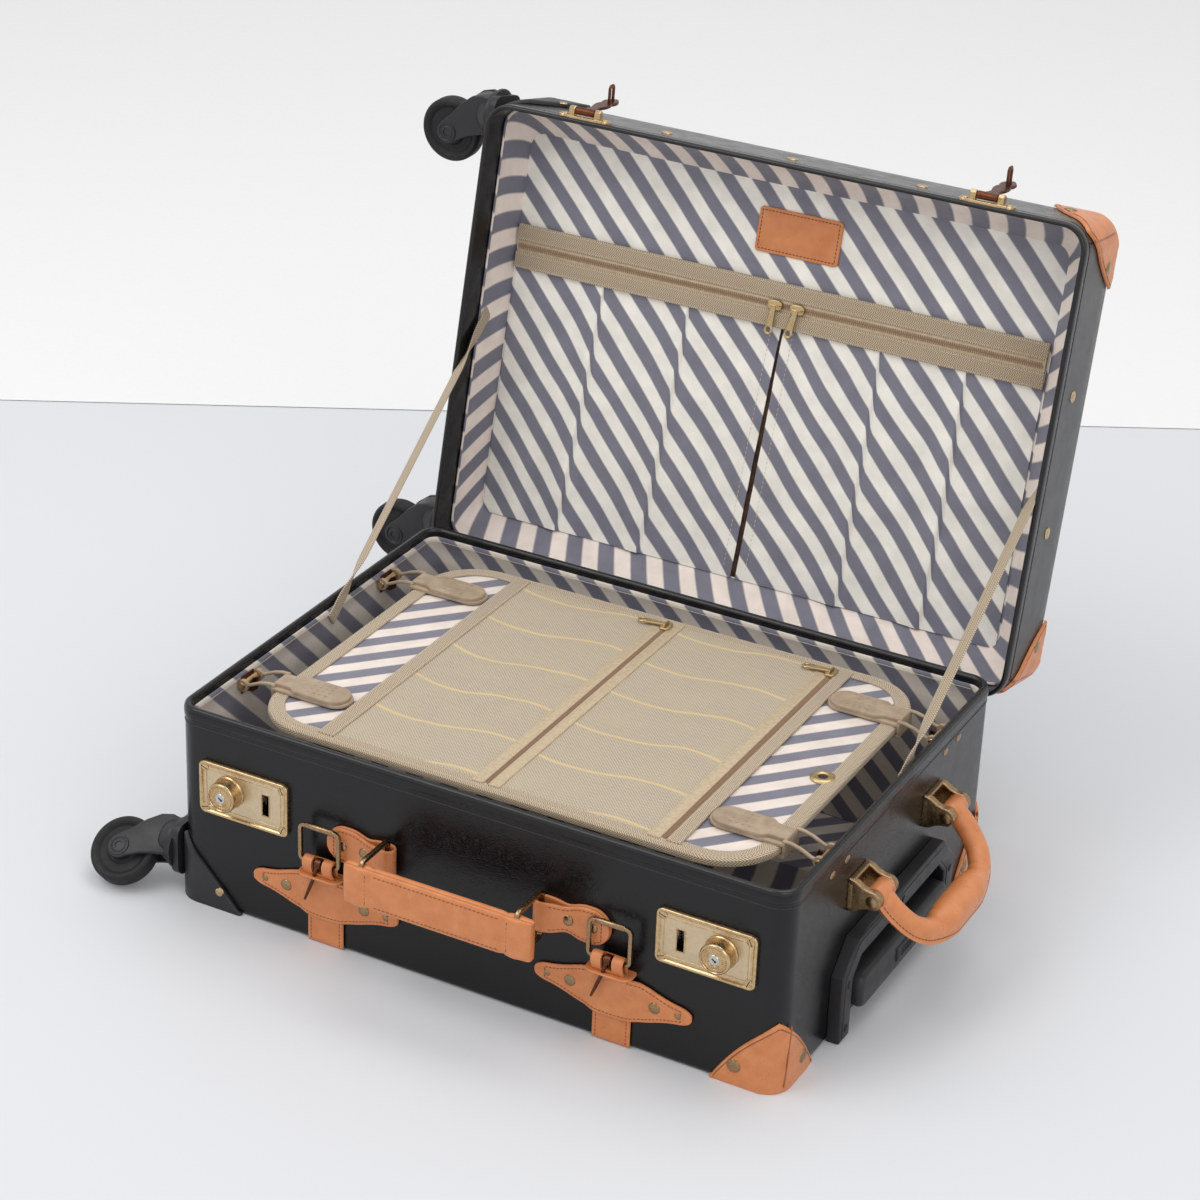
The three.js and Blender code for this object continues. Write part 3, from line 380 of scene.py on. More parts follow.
def box(x0, x1, y0, y1, z0, z1, edge=0.6):
    """A block with rounded upright edges and a rounded top and bottom."""
    hx, hy, e = (x1 - x0) / 2, (y1 - y0) / 2, min(edge, (z1 - z0) / 2.02)
    ring = rounded_ring(hx, hy, min(edge, hx / 1.01, hy / 1.01), 3, 1, 1)
    middle = ((x0 + x1) / 2, (y0 + y1) / 2)
    levels = ((z0, e), (z0 + e * 0.3, e * 0.3), (z0 + e, 0),
              (z1 - e, 0), (z1 - e * 0.3, e * 0.3), (z1, e))
    return loft([with_height(offset_outline(ring, inset) + middle, z) for z, inset in levels])


def block(x0, x1, y0, y1, z0, z1):
    """A plain block, for cutting."""
    corners = np.array([(x0, y0), (x1, y0), (x1, y1), (x0, y1)], float)
    return loft([with_height(corners, z0), with_height(corners, z1)])


def resample(path, pitch, closed=False):
    """Points and unit tangents every pitch along a polyline."""
    p = np.asarray(path, float)
    if closed:
        p = np.vstack([p, p[:1]])
    at = np.concatenate([[0], np.cumsum(np.linalg.norm(np.diff(p, axis=0), axis=1))])
    count = max(2, int(round(at[-1] / pitch)))
    where = (np.arange(count) + 0.5) * at[-1] / count

    def spots(places):
        return np.column_stack([np.interp(places, at, p[:, k]) for k in range(3)])
    t = spots(np.minimum(where + 0.3, at[-1])) - spots(np.maximum(where - 0.3, 0))
    return spots(where), t / (np.linalg.norm(t, axis=1)[:, None] + 1e-12)


def stitches(path, normal, pitch=3.4, length=2.5, thick=0.75, closed=False):
    """Short rounded threads along a path, lying on the surface with this normal."""
    parts = []
    for c, t in zip(*resample(path, pitch, closed)):
        n = np.asarray(normal, float) - t * np.dot(normal, t)
        n /= np.linalg.norm(n) + 1e-12
        s = np.cross(n, t)
        parts.append(loft([
            np.array([c + t * x * length + (s * a + n * b) * thick / 2 for a, b in around(r, 6)])
            for x, r in ((-0.5, 0.35), (-0.25, 0.95), (0.25, 0.95), (0.5, 0.35))]))
    return merged(parts)


def turning_stitches(path, pitch, half, normal_at, length, thick, closed=False):
    """Pairs of stitches along a path, each pair with the normal that belongs to its place."""
    return merged([stitches([c - t * half, c + t * half], normal_at(c, t), 9.0, length, thick)
                   for c, t in zip(*resample(path, pitch, closed))])


def slab_grid(outer, inner, uv=None):
    """A closed sheet between two grids of the same shape."""
    rows, columns = outer.shape[:2]
    n = rows * columns
    faces = [(a, a + 1, a + columns + 1, a + columns)
             for i in range(rows - 1) for a in range(i * columns, (i + 1) * columns - 1)]
    faces += [tuple(n + i for i in reversed(f)) for f in faces]
    rim = [*range(columns), *(i * columns + columns - 1 for i in range(1, rows))]
    rim += [(rows - 1) * columns + j for j in range(columns - 2, -1, -1)]
    rim += [i * columns for i in range(rows - 2, 0, -1)]
    faces += [(b, a, n + a, n + b) for a, b in zip(rim, rim[1:] + rim[:1])]
    points = np.vstack([outer.reshape(-1, 3), inner.reshape(-1, 3)])
    return (points, faces) if uv is None else (points, faces, np.vstack([uv.reshape(-1, 2)] * 2))


def ripple(x, y, z, size):
    """Smooth noise from -1 to 1 with features of this size."""
    return noise.noise(Vector((x / size, y / size, z / size)))


def smooth(t):
    t = np.clip(t, 0.0, 1.0)
    return t * t * (3 - 2 * t)


def bell(x, middle, width):
    return np.exp(-((x - middle) / width) ** 2)


def unit(v):
    return v / np.linalg.norm(v, axis=-1)[..., None]


def leaf(path, half, thick, edge=0.9, columns=15, ends=True):
    """A sheet with rounded edges whose middle follows a path in local (x, z).

    half is its half width in y, a number or one for each point of the path."""
    p = np.asarray(path, float)
    t = np.gradient(p, axis=0)
    t /= np.linalg.norm(t, axis=1)[:, None] + 1e-12
    normal = np.column_stack([-t[:, 1], t[:, 0]])
    half = np.broadcast_to(np.asarray(half, float), len(p))
    at = np.concatenate([[0], np.cumsum(np.linalg.norm(np.diff(p, axis=0), axis=1))])
    share = np.sin(np.linspace(-math.pi / 2, math.pi / 2, columns))
    y = half[:, None] * share
    d = half[:, None] * (1 - np.abs(share))
    if ends:
        d = np.minimum(d, np.minimum(at, at[-1] - at)[:, None])
    t2 = np.maximum(thick / 2 * np.sqrt(1 - (1 - np.clip(d / edge, 0, 1)) ** 2), 0.06)
    sides = []
    for way in (1, -1):
        spot = p[:, None] + normal[:, None] * (way * t2)[:, :, None]
        sides.append(np.stack([spot[:, :, 0], y, spot[:, :, 1]], axis=2))
    uv = np.stack([np.broadcast_to(at[:, None], y.shape), y], axis=2)
    return slab_grid(sides[0], sides[1], uv)


def plain_leaf(*sizes):
    """A leaf without uv."""
    return leaf(*sizes)[:2]


def hooped(rings, heights):
    """Rings joined one to the next and the last to the first, with uv; and a ring's length."""
    n, m = len(rings[0]), len(rings)
    gaps = np.linalg.norm(np.roll(rings[0], -1, 0) - rings[0], axis=1)
    u = np.concatenate([[0], np.cumsum(gaps)[:-1]])
    faces = [(i * n + j, i * n + (j + 1) % n, (i + 1) % m * n + (j + 1) % n, (i + 1) % m * n + j)
             for i in range(m) for j in range(n)]
    uv = np.column_stack([np.tile(u, m), np.repeat(heights, n)])
    return (np.vstack(rings), faces, uv), gaps.sum()


def hoop(rings):
    return hooped(rings, [0] * len(rings))[0][:2]


def rounded_rows(hx, hy, r, nx, ny, centre=(0, 0)):
    """A grid of (x, y) that fills a rounded rectangle, with no row that shrinks to a point."""
    bend = [hy - r + r * math.sin(a) for a in np.linspace(0, math.pi / 2, 9)[1:]]
    rows = [-y for y in reversed(bend)] + list(np.linspace(r - hy, hy - r, ny)) + bend
    out = np.zeros((len(rows), nx, 2))
    for i, y in enumerate(rows):
        over = max(0.0, abs(y) - (hy - r))
        reach = hx - r + math.sqrt(max(0.0, r * r - over * over))
        out[i, :, 0] = centre[0] + reach * np.linspace(-1, 1, nx)
        out[i, :, 1] = centre[1] + y
    return out


def laid(flat, front, back):
    """A closed sheet over a grid of (x, y) from the height front(x, y) to back(x, y)."""
    sides = [np.dstack([flat, [[level(x, y) for x, y in row] for row in flat]])
             for level in (front, back)]
    return slab_grid(sides[0], sides[1], flat)


def tape(x0, x1, y0, y1, z0, z1, edge=0.5):
    """A flat tape with uv along its longer side."""
    points, faces = box(x0, x1, y0, y1, z0, z1, edge)
    return points, faces, points[:, [0, 1] if x1 - x0 > y1 - y0 else [1, 0]]


# Materials

class Finish:
    """A Principled material with helpers that add texture nodes to it."""

    def __init__(self, name, colour, roughness, metallic=0.0, specular=0.5):
        self.material = bpy.data.materials.new(name)
        self.material.use_nodes = True
        self.tree = self.material.node_tree
        self.tree.nodes.clear()
        out = self.node("OutputMaterial")
        self.shader = self.node("BsdfPrincipled")
        self.tree.links.new(self.shader.outputs[0], out.inputs[0])
        self.set("Base Color", colour)
        self.set("Roughness", roughness)
        self.set("Metallic", metallic)
        self.set("Specular IOR Level", specular)
        self.height = None

    def node(self, kind, **settings):
        made = self.tree.nodes.new("ShaderNode" + kind)
        for key, value in settings.items():
            setattr(made, key, value)
        return made

    def link(self, value, socket):
        if isinstance(value, (int, float, tuple)):
            socket.default_value = value
        else:
            self.tree.links.new(value, socket)

    def set(self, name, value):
        self.link(value, self.shader.inputs[name])

    def coords(self, uv, stretch=(1, 1, 1)):
        scaled = self.node("Mapping")
        self.link(self.node("TexCoord").outputs["UV" if uv else "Object"], scaled.inputs["Vector"])
        scaled.inputs["Scale"].default_value = stretch
        return scaled.outputs[0]

    def math(self, kind, a, b=0.0):
        made = self.node("Math", operation=kind)
        self.link(a, made.inputs[0])
        self.link(b, made.inputs[1])
        return made.outputs[0]

    def noise(self, size, detail=3.0, rough=0.55, uv=False, stretch=(1, 1, 1)):
        """Noise with features of this size in millimetres."""
        made = self.node("TexNoise")
        self.link(self.coords(uv, stretch), made.inputs["Vector"])
        for name, value in (("Scale", 1 / (size * MM)), ("Detail", detail), ("Roughness", rough)):
            made.inputs[name].default_value = value
        return made.outputs["Fac"]

    def creases(self, size, width, stretch=(1, 1, 1)):
        """Low along the borders of cells of this size."""
        made = self.node("TexVoronoi", feature="DISTANCE_TO_EDGE")
        self.link(self.coords(False, stretch), made.inputs["Vector"])
        made.inputs["Scale"].default_value = 1 / (size * MM)
        return self.range(made.outputs["Distance"], 0.0, width, smooth=True)

    def range(self, value, low, high, to_low=0.0, to_high=1.0, smooth=False):
        made = self.node("MapRange", interpolation_type="SMOOTHSTEP" if smooth else "LINEAR")
        for socket, v in zip(made.inputs, (value, low, high, to_low, to_high)):
            self.link(v, socket)
        return made.outputs[0]

    def mix(self, factor, a, b):
        made = self.node("Mix", data_type="RGBA")
        for index, value in ((0, factor), (6, a), (7, b)):
            self.link(value, made.inputs[index])
        return made.outputs[2]

    def axis(self, which):
        split = self.node("SeparateXYZ")
        self.link(self.coords(True), split.inputs[0])
        return split.outputs[which]

    def fold(self, turns):
        """How far a count of turns is from the middle of its turn, 0 to 0.5."""
        return self.math("ABSOLUTE", self.math("SUBTRACT", self.math("FRACT", turns), 0.5))

    def saw(self, value, pitch):
        """The same for a length and a pitch in millimetres."""
        return self.fold(self.math("MULTIPLY", value, 1 / (pitch * MM)))

    def bump(self, value, depth):
        """Adds a bump of this depth in millimetres over the ones before it."""
        made = self.node("Bump")
        made.inputs["Strength"].default_value = 1.0
        made.inputs["Distance"].default_value = depth * MM
        self.link(value, made.inputs["Height"])
        if self.height is not None:
            self.link(self.height, made.inputs["Normal"])
        self.height = made.outputs[0]
        self.set("Normal", self.height)

    def bumps(self, *rows):
        """A bump for each (size, detail, depth)."""
        for size, detail, depth in rows:
            self.bump(self.noise(size, detail), depth)

    def rough(self, size, detail, low, high, uv=False):
        self.set("Roughness", self.range(self.noise(size, detail, uv=uv), 0.3, 0.7, low, high))

    def tones(self, size, one, two, low=None, high=None):
        """Two colours mixed by noise, the noise first spread from low to high where given."""
        fac = self.noise(size)
        self.set("Base Color", self.mix(self.range(fac, low, high) if low else fac, one, two))


def grey(value, blue):
    return (value, value, blue, 1)


def vinyl():
    f = Finish("black_vinyl", grey(0.006, 0.0065), 0.2, specular=0.34)
    grain = f.noise(0.55, 4.0, 0.6)
    f.bump(f.creases(1.7, 0.22, (0.6, 0.6, 1.4)), 0.045)
    f.bump(grain, 0.035)
    f.bumps((12.0, 2.0, 0.16))
    f.rough(14.0, 3.0, 0.12, 0.25)
    f.tones(5.0, grey(0.004, 0.0045), grey(0.008, 0.009))
    return f.material


def plain(name, colour, rough, specular, bumps, spread=(), tones=()):
    """A finish with noise in its height, its roughness and its colour."""
    f = Finish(name, colour, rough, specular=specular)
    f.bumps(*bumps)
    if spread:
        f.rough(*spread)
    if tones:
        f.tones(*tones)
    return f.material


def leather(name, light, dark, bump=1.0):
    f = Finish(name, light, 0.33, specular=0.5)
    f.bump(f.creases(0.9, 0.25), 0.03 * bump)
    f.bumps((0.4, 3.0, 0.02 * bump), (9.0, 2.0, 0.16 * bump))
    shade = f.mix(f.range(f.noise(11.0, 4.0), 0.3, 0.72), dark, light)
    fine = f.range(f.noise(1.1, 2.0), 0.35, 0.75, 0.0, 0.22)
    f.set("Base Color", f.mix(fine, shade, dark))
    f.rough(8.0, 3.0, 0.25, 0.4)
    return f.material


def thread(name, colour):
    darker = tuple(c * 0.72 for c in colour[:3]) + (1.0,)
    return plain(name, colour, 0.6, 0.5, [(0.3, 2.0, 0.05)], tones=(2.5, colour, darker))


def metal(name, light, dark, rough, brushed=None, patina=0.6):
    f = Finish(name, light, rough[0], metallic=1.0)
    spots = f.range(f.noise(3.2, 4.0, 0.65), 0.38, 0.72)
    f.set("Base Color", f.mix(f.math("MULTIPLY", spots, patina), light, dark))
    f.rough(2.4, 3.0, *rough)
    if brushed:
        f.bump(f.noise(0.16, 2.0, stretch=brushed), 0.012)
    else:
        f.bumps((2.2, 2.0, 0.016))
    return f.material


SLATE, CREAM = srgb(122, 121, 134), srgb(243, 239, 230)


def striped(name, pitch, angle, cream=CREAM, wobble=2.0):
    """Satin cloth with stripes half the pitch wide, across the direction of this angle."""
    f = Finish(name, cream, 0.42, specular=0.4)
    f.set("Sheen Weight", 0.12)
    a = math.radians(angle)
    across = f.math("ADD", f.math("MULTIPLY", f.axis(0), math.cos(a)),
                    f.math("MULTIPLY", f.axis(1), math.sin(a)))
    across = f.math("ADD", across, f.math("MULTIPLY", f.noise(60, 1.0, uv=True), wobble * MM))
    band = f.range(f.saw(across, pitch), 0.22, 0.28)
    shaded = f.node("VectorMath", operation="SCALE")
    f.link(f.mix(band, cream, SLATE), shaded.inputs[0])
    f.link(f.range(f.noise(24.0, 3.0, uv=True), 0.3, 0.7, 0.88, 1.06), shaded.inputs[3])
    f.set("Base Color", shaded.outputs[0])
    f.rough(8.0, 2.0, 0.34, 0.5, True)
    f.bump(f.noise(0.45, 2.0, uv=True, stretch=(1, 2.5, 1)), 0.035)
    f.bump(f.noise(15.0, 3.0, uv=True), 0.5)
    return f.material


def webbing(name, light, dark):
    """Herringbone tape: rows of slanted ribs that change side every rib width, with painted shade
    that darkens the grooves between them.
    """
    f = Finish(name, light, 0.8, specular=0.25)
    f.set("Sheen Weight", 0.25)
    rows = f.math("MULTIPLY", f.saw(f.axis(1), 5.6), 3.0)
    slant = f.math("ADD", f.math("MULTIPLY", f.axis(0), 1 / (1.9 * MM)), rows)
    high = f.range(f.fold(slant), 0.05, 0.4, smooth=True)
    f.bump(high, 0.35)
    f.bumps((0.4, 2.0, 0.05))
    # Painted shade: the grooves between the ribs take the dark colour, the rib tops the light one.
    f.set("Base Color", f.mix(f.range(high, 0.0, 1.0, 0.95, 0.0), light, dark))
    return f.material


def smooth_tape():
    """Plain woven zip tape."""
    f = Finish("zip_tape", srgb(192, 172, 144), 0.72, specular=0.25)
    f.bump(f.noise(0.5, 2.0, uv=True, stretch=(1.5, 1, 1)), 0.08)
    f.tones(3.0, srgb(198, 179, 151), srgb(180, 160, 131), 0.35, 0.7)
    return f.material


def net():
    """Cream mesh: a fine lattice over cloth, with soft wavy yellow lines along u."""
    f = Finish("cream_mesh", srgb(214, 205, 178), 0.62, specular=0.35)
    u, v = f.axis(0), f.axis(1)
    folds = [f.saw(f.math(way, u, v), 2.6) for way in ("ADD", "SUBTRACT")]
    lattice = f.range(f.math("MAXIMUM", *folds), 0.28, 0.46, smooth=True)
    base = f.mix(lattice, srgb(156, 143, 126), srgb(212, 197, 176))
    soft = f.mix(f.range(f.noise(26.0, 2.0), 0.3, 0.7, 0.0, 0.35), base, srgb(194, 181, 150))
    wave = f.math("SINE", f.math("MULTIPLY", u, 2 * math.pi / (130 * MM)))
    drift = f.math("MULTIPLY", f.noise(50.0, 1.0, uv=True), 8 * MM)
    wave = f.math("ADD", f.math("MULTIPLY", wave, 6.0 * MM), drift)
    thin = f.range(f.saw(f.math("ADD", v, wave), 54), 0.0, 0.045, 1.0, 0.0, smooth=True)
    f.set("Base Color", f.mix(f.math("MULTIPLY", thin, 0.7), soft, srgb(232, 202, 140)))
    f.bump(lattice, 0.2)
    f.rough(6.0, 2.0, 0.5, 0.7)
    return f.material


VINYL = vinyl()
VINYL_EDGE = plain("black_vinyl_edge", grey(0.008, 0.0085), 0.2, 0.45,
                   [(0.7, 3.0, 0.03), (16.0, 2.0, 0.5)], (10.0, 3.0, 0.17, 0.33))
PLASTIC = plain("black_plastic", grey(0.016, 0.018), 0.42, 0.45, [(0.35, 2.0, 0.02)],
                (12.0, 3.0, 0.36, 0.5), (20.0, grey(0.013, 0.015), grey(0.022, 0.024)))
RUBBER = plain("black_rubber", grey(0.014, 0.015), 0.62, 0.35, [(0.6, 3.0, 0.04)],
               (5.0, 3.0, 0.52, 0.72))
TAN = leather("tan_leather", srgb(214, 138, 86), srgb(198, 120, 70))
TAN_EDGE = leather("tan_leather_edge", srgb(172, 96, 58), srgb(140, 74, 43), 0.6)
TAN_THREAD = thread("tan_thread", srgb(138, 78, 46))
BLACK_THREAD = thread("black_thread", (0.03, 0.03, 0.032, 1))
CREAM_THREAD = thread("cream_thread", srgb(222, 208, 184))
BRASS = metal("antique_brass", srgb(210, 182, 140), srgb(158, 130, 92), (0.18, 0.3))
BRASS_PLATE = metal("brushed_brass_plate", srgb(216, 196, 164), srgb(188, 162, 126),
                    (0.3, 0.44), (1, 14, 14), 0.4)
DARK_BRASS = metal("dark_brass", srgb(168, 140, 106), srgb(124, 98, 70), (0.2, 0.34))
COPPER = metal("brown_copper", srgb(112, 70, 52), srgb(58, 34, 26), (0.26, 0.46))
SILVER = metal("silver", srgb(205, 203, 196), srgb(150, 148, 142), (0.2, 0.34), patina=0.3)
STEEL = metal("steel", srgb(186, 188, 192), srgb(140, 142, 146), (0.25, 0.36), (14, 1, 1), 0.3)
LID_STRIPES = striped("lid_stripes", 21.4, -45)
LID_WALL_STRIPES = striped("lid_wall_stripes", 28.1, -22, cream=srgb(242, 228, 218))
BASE_STRIPES = striped("base_stripes", 22.5, -45, cream=srgb(228, 218, 206), wobble=1.0)
DIVIDER_STRIPES = striped("divider_stripes", 22.6, -42, cream=srgb(232, 219, 209), wobble=0.6)
# The second colour of the webbing is painted shade for the grooves between its ribs.
WEBBING, NET = webbing("beige_webbing", srgb(208, 190, 164), srgb(138, 116, 90)), net()
# Dark brown cloth that is painted shadow: it stands in for the shade inside the pocket's slit.
SLIT_SHADOW_CLOTH = plain("slit_shadow_cloth", srgb(70, 50, 40), 0.8, 0.2, [(0.5, 2.0, 0.06)],
                    tones=(7.0, srgb(74, 54, 42), srgb(44, 31, 25), 0.35, 0.7))
SMOOTH_TAPE = smooth_tape()
BEIGE_PLASTIC = plain("beige_plastic", srgb(166, 146, 122), 0.4, 0.45, [(0.4, 2.0, 0.015)],
                      (6.0, 3.0, 0.34, 0.48),
                      (9.0, srgb(172, 152, 128), srgb(152, 132, 110), 0.35, 0.7))
# Its second colour is painted shade for the grooves between the ribs.
PINK_WEB = webbing("pink_webbing", srgb(214, 194, 178), srgb(176, 152, 134))
TEETH = thread("zip_teeth", srgb(160, 128, 102))
DARK_THREAD = thread("dark_thread", srgb(118, 58, 34))
PALE_BRASS = metal("pale_brass", srgb(206, 182, 138), srgb(150, 124, 82), (0.28, 0.42), patina=0.4)
STEEL_DARK = metal("dark_screws", srgb(70, 70, 72), srgb(34, 34, 36), (0.3, 0.5))
USUAL_SLOT = {material.name: slot for slot, materials in {
    "black_vinyl": (VINYL, VINYL_EDGE, BLACK_THREAD),
    "black_plastic": (PLASTIC, RUBBER, STEEL_DARK),
    "tan_leather": (TAN, TAN_EDGE, TAN_THREAD, DARK_THREAD),
    "brushed_brass": (BRASS, BRASS_PLATE, PALE_BRASS),
    "dark_brass": (DARK_BRASS, COPPER),
    "bright_steel": (SILVER, STEEL),
    "striped_lining": (LID_STRIPES, LID_WALL_STRIPES, BASE_STRIPES, DIVIDER_STRIPES, SLIT_SHADOW_CLOTH),
    "beige_webbing": (WEBBING, SMOOTH_TAPE, PINK_WEB, TEETH, CREAM_THREAD),
    "divider_cloth": (NET, BEIGE_PLASTIC),
}.items() for material in materials}
SIDES = ((-1, "left"), (1, "right"))


# Shells

def shell_shape(hx, hy, corner, wall, depth, floor, bead, z_closed, way):
    """A box open at one end. Heights are counted from its closed end, and way is +1 or -1."""
    foot, r = 4.0, (wall + bead) / 2
    profile = [(-foot + foot * math.sin(a), foot - foot * math.cos(a))
               for a in np.linspace(0, math.pi / 2, 6)]
    profile += [(0, h) for h in np.linspace(foot, depth - 9, 6)[1:]]
    profile += [(0.0, depth - 8.2), (bead * 0.8, depth - 7.6), (bead, depth - 6.6)]
    profile += [(bead - r + r * math.cos(a), depth - r + r * math.sin(a))
                for a in np.linspace(0, math.pi, 9)]
    profile += [(-wall, h) for h in np.linspace(depth - r, floor, 5)[1:]]
    profile = [(o, z_closed + way * h) for o, h in profile]
    return loft(stepped(hx, hy, corner, profile, 10, 28, 20, least=1.0))


def wall_line(hx, hy, r, z):
    return with_height(rounded_ring(hx, hy, r, 10, 28, 20), z)


def ring_stitches(hx, hy, r, z):
    """Stitches round the outside of a shell."""
    return turning_stitches(wall_line(hx, hy, r, z), 4.6, 1.6, lambda c, t: np.cross(t, OUT),
                            3.2, 0.8, True)


def shells():
    shape = shell_shape(HALF_X, HALF_Y, CORNER, WALL, HEIGHT, FLOOR, 0.7, 0.0, 1)
    made = piece("base_shell_skin", shape, VINYL, "base", "base_shell")
    holes = []
    for side in (-1, 1):
        x, y = side * HASP_X, side * 60.0
        holes.append(block(x - 2.7, x + 2.7, -HALF_Y - 3, -HALF_Y + WALL + 1, 93.5, 110.5))
        holes.append(block(HALF_X - WALL - 1, HALF_X + 3, y - 10.3, y + 10.3, 16.7, 31.3))
    cut(made, holes, 38)
    rim = wall_line(HALF_X - WALL / 2, HALF_Y - WALL / 2, CORNER - WALL / 2, HEIGHT - 1.6)
    piece("base_rim_edge", tube(rim, 2.9, 10, True), VINYL_EDGE, "base")
    seam = ring_stitches(HALF_X, HALF_Y, CORNER, HEIGHT - 12.0)
    piece("base_rim_stitches", seam, BLACK_THREAD, "base")
    hx, hy, r = HALF_X + LID_GROW, HALF_Y + LID_GROW, CORNER + LID_GROW
    add = maker("lid_", LID, "lid")
    add("shell_skin", shell_shape(hx, hy, r, LID_WALL, LID_DEPTH, LID_TOP, 0.5, LID_DEPTH, -1),
        VINYL, "lid_shell")
    rim = wall_line(hx - LID_WALL / 2, hy - LID_WALL / 2, r - LID_WALL / 2, 1.2)
    add("rim_edge", tube(rim, 1.95, 10, True), VINYL_EDGE)
    add("rim_stitches", ring_stitches(hx, hy, r, 10.5), BLACK_THREAD)


# Corner pieces that wrap round a corner of a shell

def cap_height(across, reach, height, bulge):
    """The outline's height at this distance from the corner."""
    low, high = 0.0, 1.0
    for _ in range(30):
        t = (low + high) / 2
        if (1 - t) ** 2 * reach + 2 * (1 - t) * t * bulge * reach > across:
            low = t
        else:
            high = t
    return 2 * (1 - t) * t * bulge * height + t * t * height


def corner_sheet(grow, sx, sy, low, reach, height, bulge, thick, edge, crease=0.0):
    """A sheet over two walls; returns its closed shape, the seam line's stitches
    and a function that places points."""
    half_x, half_y, radius = HALF_X + grow, HALF_Y + grow, CORNER + grow
    r = radius + SEAT
    outer_r = r + thick
    bend = r * math.pi / 4
    half = bend + reach - outer_r
    rows = [0.0, 0.012, 0.03, 0.06, 0.12, 0.22,
            0.34, 0.46, 0.58, 0.7, 0.8, 0.88, 0.94, 0.97, 0.988, 1.0]
    columns = [-1, -0.99, -0.975, -0.95, *np.linspace(-0.92, 0.92, 47), 0.95, 0.975, 0.99, 1]
    outer = np.zeros((len(rows), len(columns), 3))
    inner = np.zeros_like(outer)

    def place(s, z, out):
        a, side = abs(s), 1 if s >= 0 else -1
        if a <= bend:
            angle = math.pi / 4 - side * a / r
            x = half_x - radius + (r + out) * math.cos(angle)
            y = half_y - radius + (r + out) * math.sin(angle)
        elif side > 0:
            x, y = half_x + SEAT + out, half_y - radius - (a - bend)
        else:
            x, y = half_x - radius - (a - bend), half_y + SEAT + out
        return np.array((sx * x, sy * y, z))

    def top(s):
        a = abs(s)
        across = outer_r * (1 - math.cos(math.pi / 4 + a / r)) if a <= bend else outer_r + a - bend
        return max(cap_height(across, reach, height, bulge), 2.5)

    for j, share in enumerate(columns):
        s = share * half
        h = top(s)
        for i, t in enumerate(rows):
            z = low + (h - low) * t
            d = min((h - z) * 0.8, half - abs(s))
            swell = math.sqrt(max(0.0, 1 - (1 - min(max(d, 0) / edge, 1)) ** 2))
            out = 0.1 + (thick - 0.1 + crease * ripple(s * 1.3, z * 0.8, 7.0, 9.0)) * swell
            outer[i, j], inner[i, j] = place(s, z, out), place(s, z, 0.0)
    seam = [(s, max(top(s) - 3.6, 2.3)) for s in np.linspace(-0.93, 0.93, 60) * half]
    line = np.array([place(s, z, thick) for s, z in seam])
    normals = unit(line - [place(s, z, 0.0) for s, z in seam])

    def nearest(c, t):
        return normals[np.argmin(np.linalg.norm(line - c, axis=1))]
    return slab_grid(outer, inner), turning_stitches(line, 3.4, 1.7, nearest, 2.4, 0.75), place


def corner_rivets(place, spots, radius):
    """Domed heads at each (distance round the corner, height)."""
    shapes = []
    for s, z in spots:
        foot = place(s, z, 2.0)
        n = unit(place(s, z, 3.0) - foot)
        side = np.cross(OUT, n)
        shapes.append(moved(dome(radius, 1.5), basis(side, np.cross(n, side), n, foot)))
    return merged(shapes)


def corners():
    """Label, body, side in y, growth against the base, foot and matrix of each shell corner."""
    for label, sy in (("base_front", -1), ("base_back", 1)):
        yield label, "base", sy, 0.0, SEAT, FLAT
    for label, sy in (("lid_front", -1), ("lid_hinge", 1)):
        yield label, "lid", sy, LID_GROW, 0.0, LID @ FLIP


def corner_caps():
    for label, body, sy, grow, low, matrix in corners():
        sheet, seam, place = corner_sheet(grow, 1, sy, low, 54.0, 61.0, 0.62, 2.1, 1.2, 0.5)
        node = "corner_cap_" + label[5:] if body == "base" else "lid_corner_cap_" + label[4:]
        add = maker(f"cap_{label}", matrix, body)
        add("", sheet, TAN, node, 60)
        add("_thread", seam, TAN_THREAD)
        add("_rivets", corner_rivets(place, ((30.0, 16.0), (-30.0, 16.0)), 5.2), DARK_BRASS)
        ridge = [place(5.5 + 3.5 * t, low + 3.0 + 50.0 * t, 1.7) for t in np.linspace(0, 1, 24)]
        add("_ridge", tube(ridge, 0.95, 8, scale=[0.3] + [1.0] * 22 + [0.3]), TAN_EDGE)


# Casters

CROWN_R, CROWN_H, WHEEL_R, WHEEL_W, TRAIL = 18.0, 13.0, 26.0, 14.0, 20.0
REACH = CROWN_H + 0.5 + WHEEL_R


def fork_shape():
    """The fork in its own frame: swivel along x, trail down -z."""
    crown = lathe([(0, 0), (CROWN_R, 0), (CROWN_R, 2.5), (CROWN_R - 1.2, 4.0), (CROWN_R - 2.4, 8.0),
                   (CROWN_R - 4.5, 11.5), (CROWN_R - 8, CROWN_H), (0, CROWN_H)], 40)
    outline = [(-1.5, 14.5), (-9, 15.6), (-18, 13.2), (-28, 5.5), (-37, -4.5), (-45, -11.5)]
    outline += arc(-REACH, -TRAIL, 9.6, math.radians(128), math.radians(318), 16)
    outline += [(-22.5, -21.0), (-12, -17.5), (-4, -15.5), (-1.5, -14.5)]
    arm = put(plate(outline, 3.6, 1.2), 0, -7.6, 0, FRONT)
    hood = [(-1.5, 13.2), (-6, 13.7), (-10, 13.6), (-14, 12.7),
            (-18, 11.2), (-21, 9.2), (-24.5, 6.6)]
    stem = disc(3.9, 0, 5.8, 16)
    return merged([moved(crown, basis((0, 0, 1), (0, 1, 0), (-1, 0, 0))),
                   arm, moved(arm, MIRROR_Y), plain_leaf(hood, 11.0, 2.4, 1.0),
                   box(-CROWN_H, -1.5, -8, 8, -14.0, 14.0, 1.5),
                   moved(stem, basis((0, 0, 1), (0, 1, 0), (1, 0, 0)))])


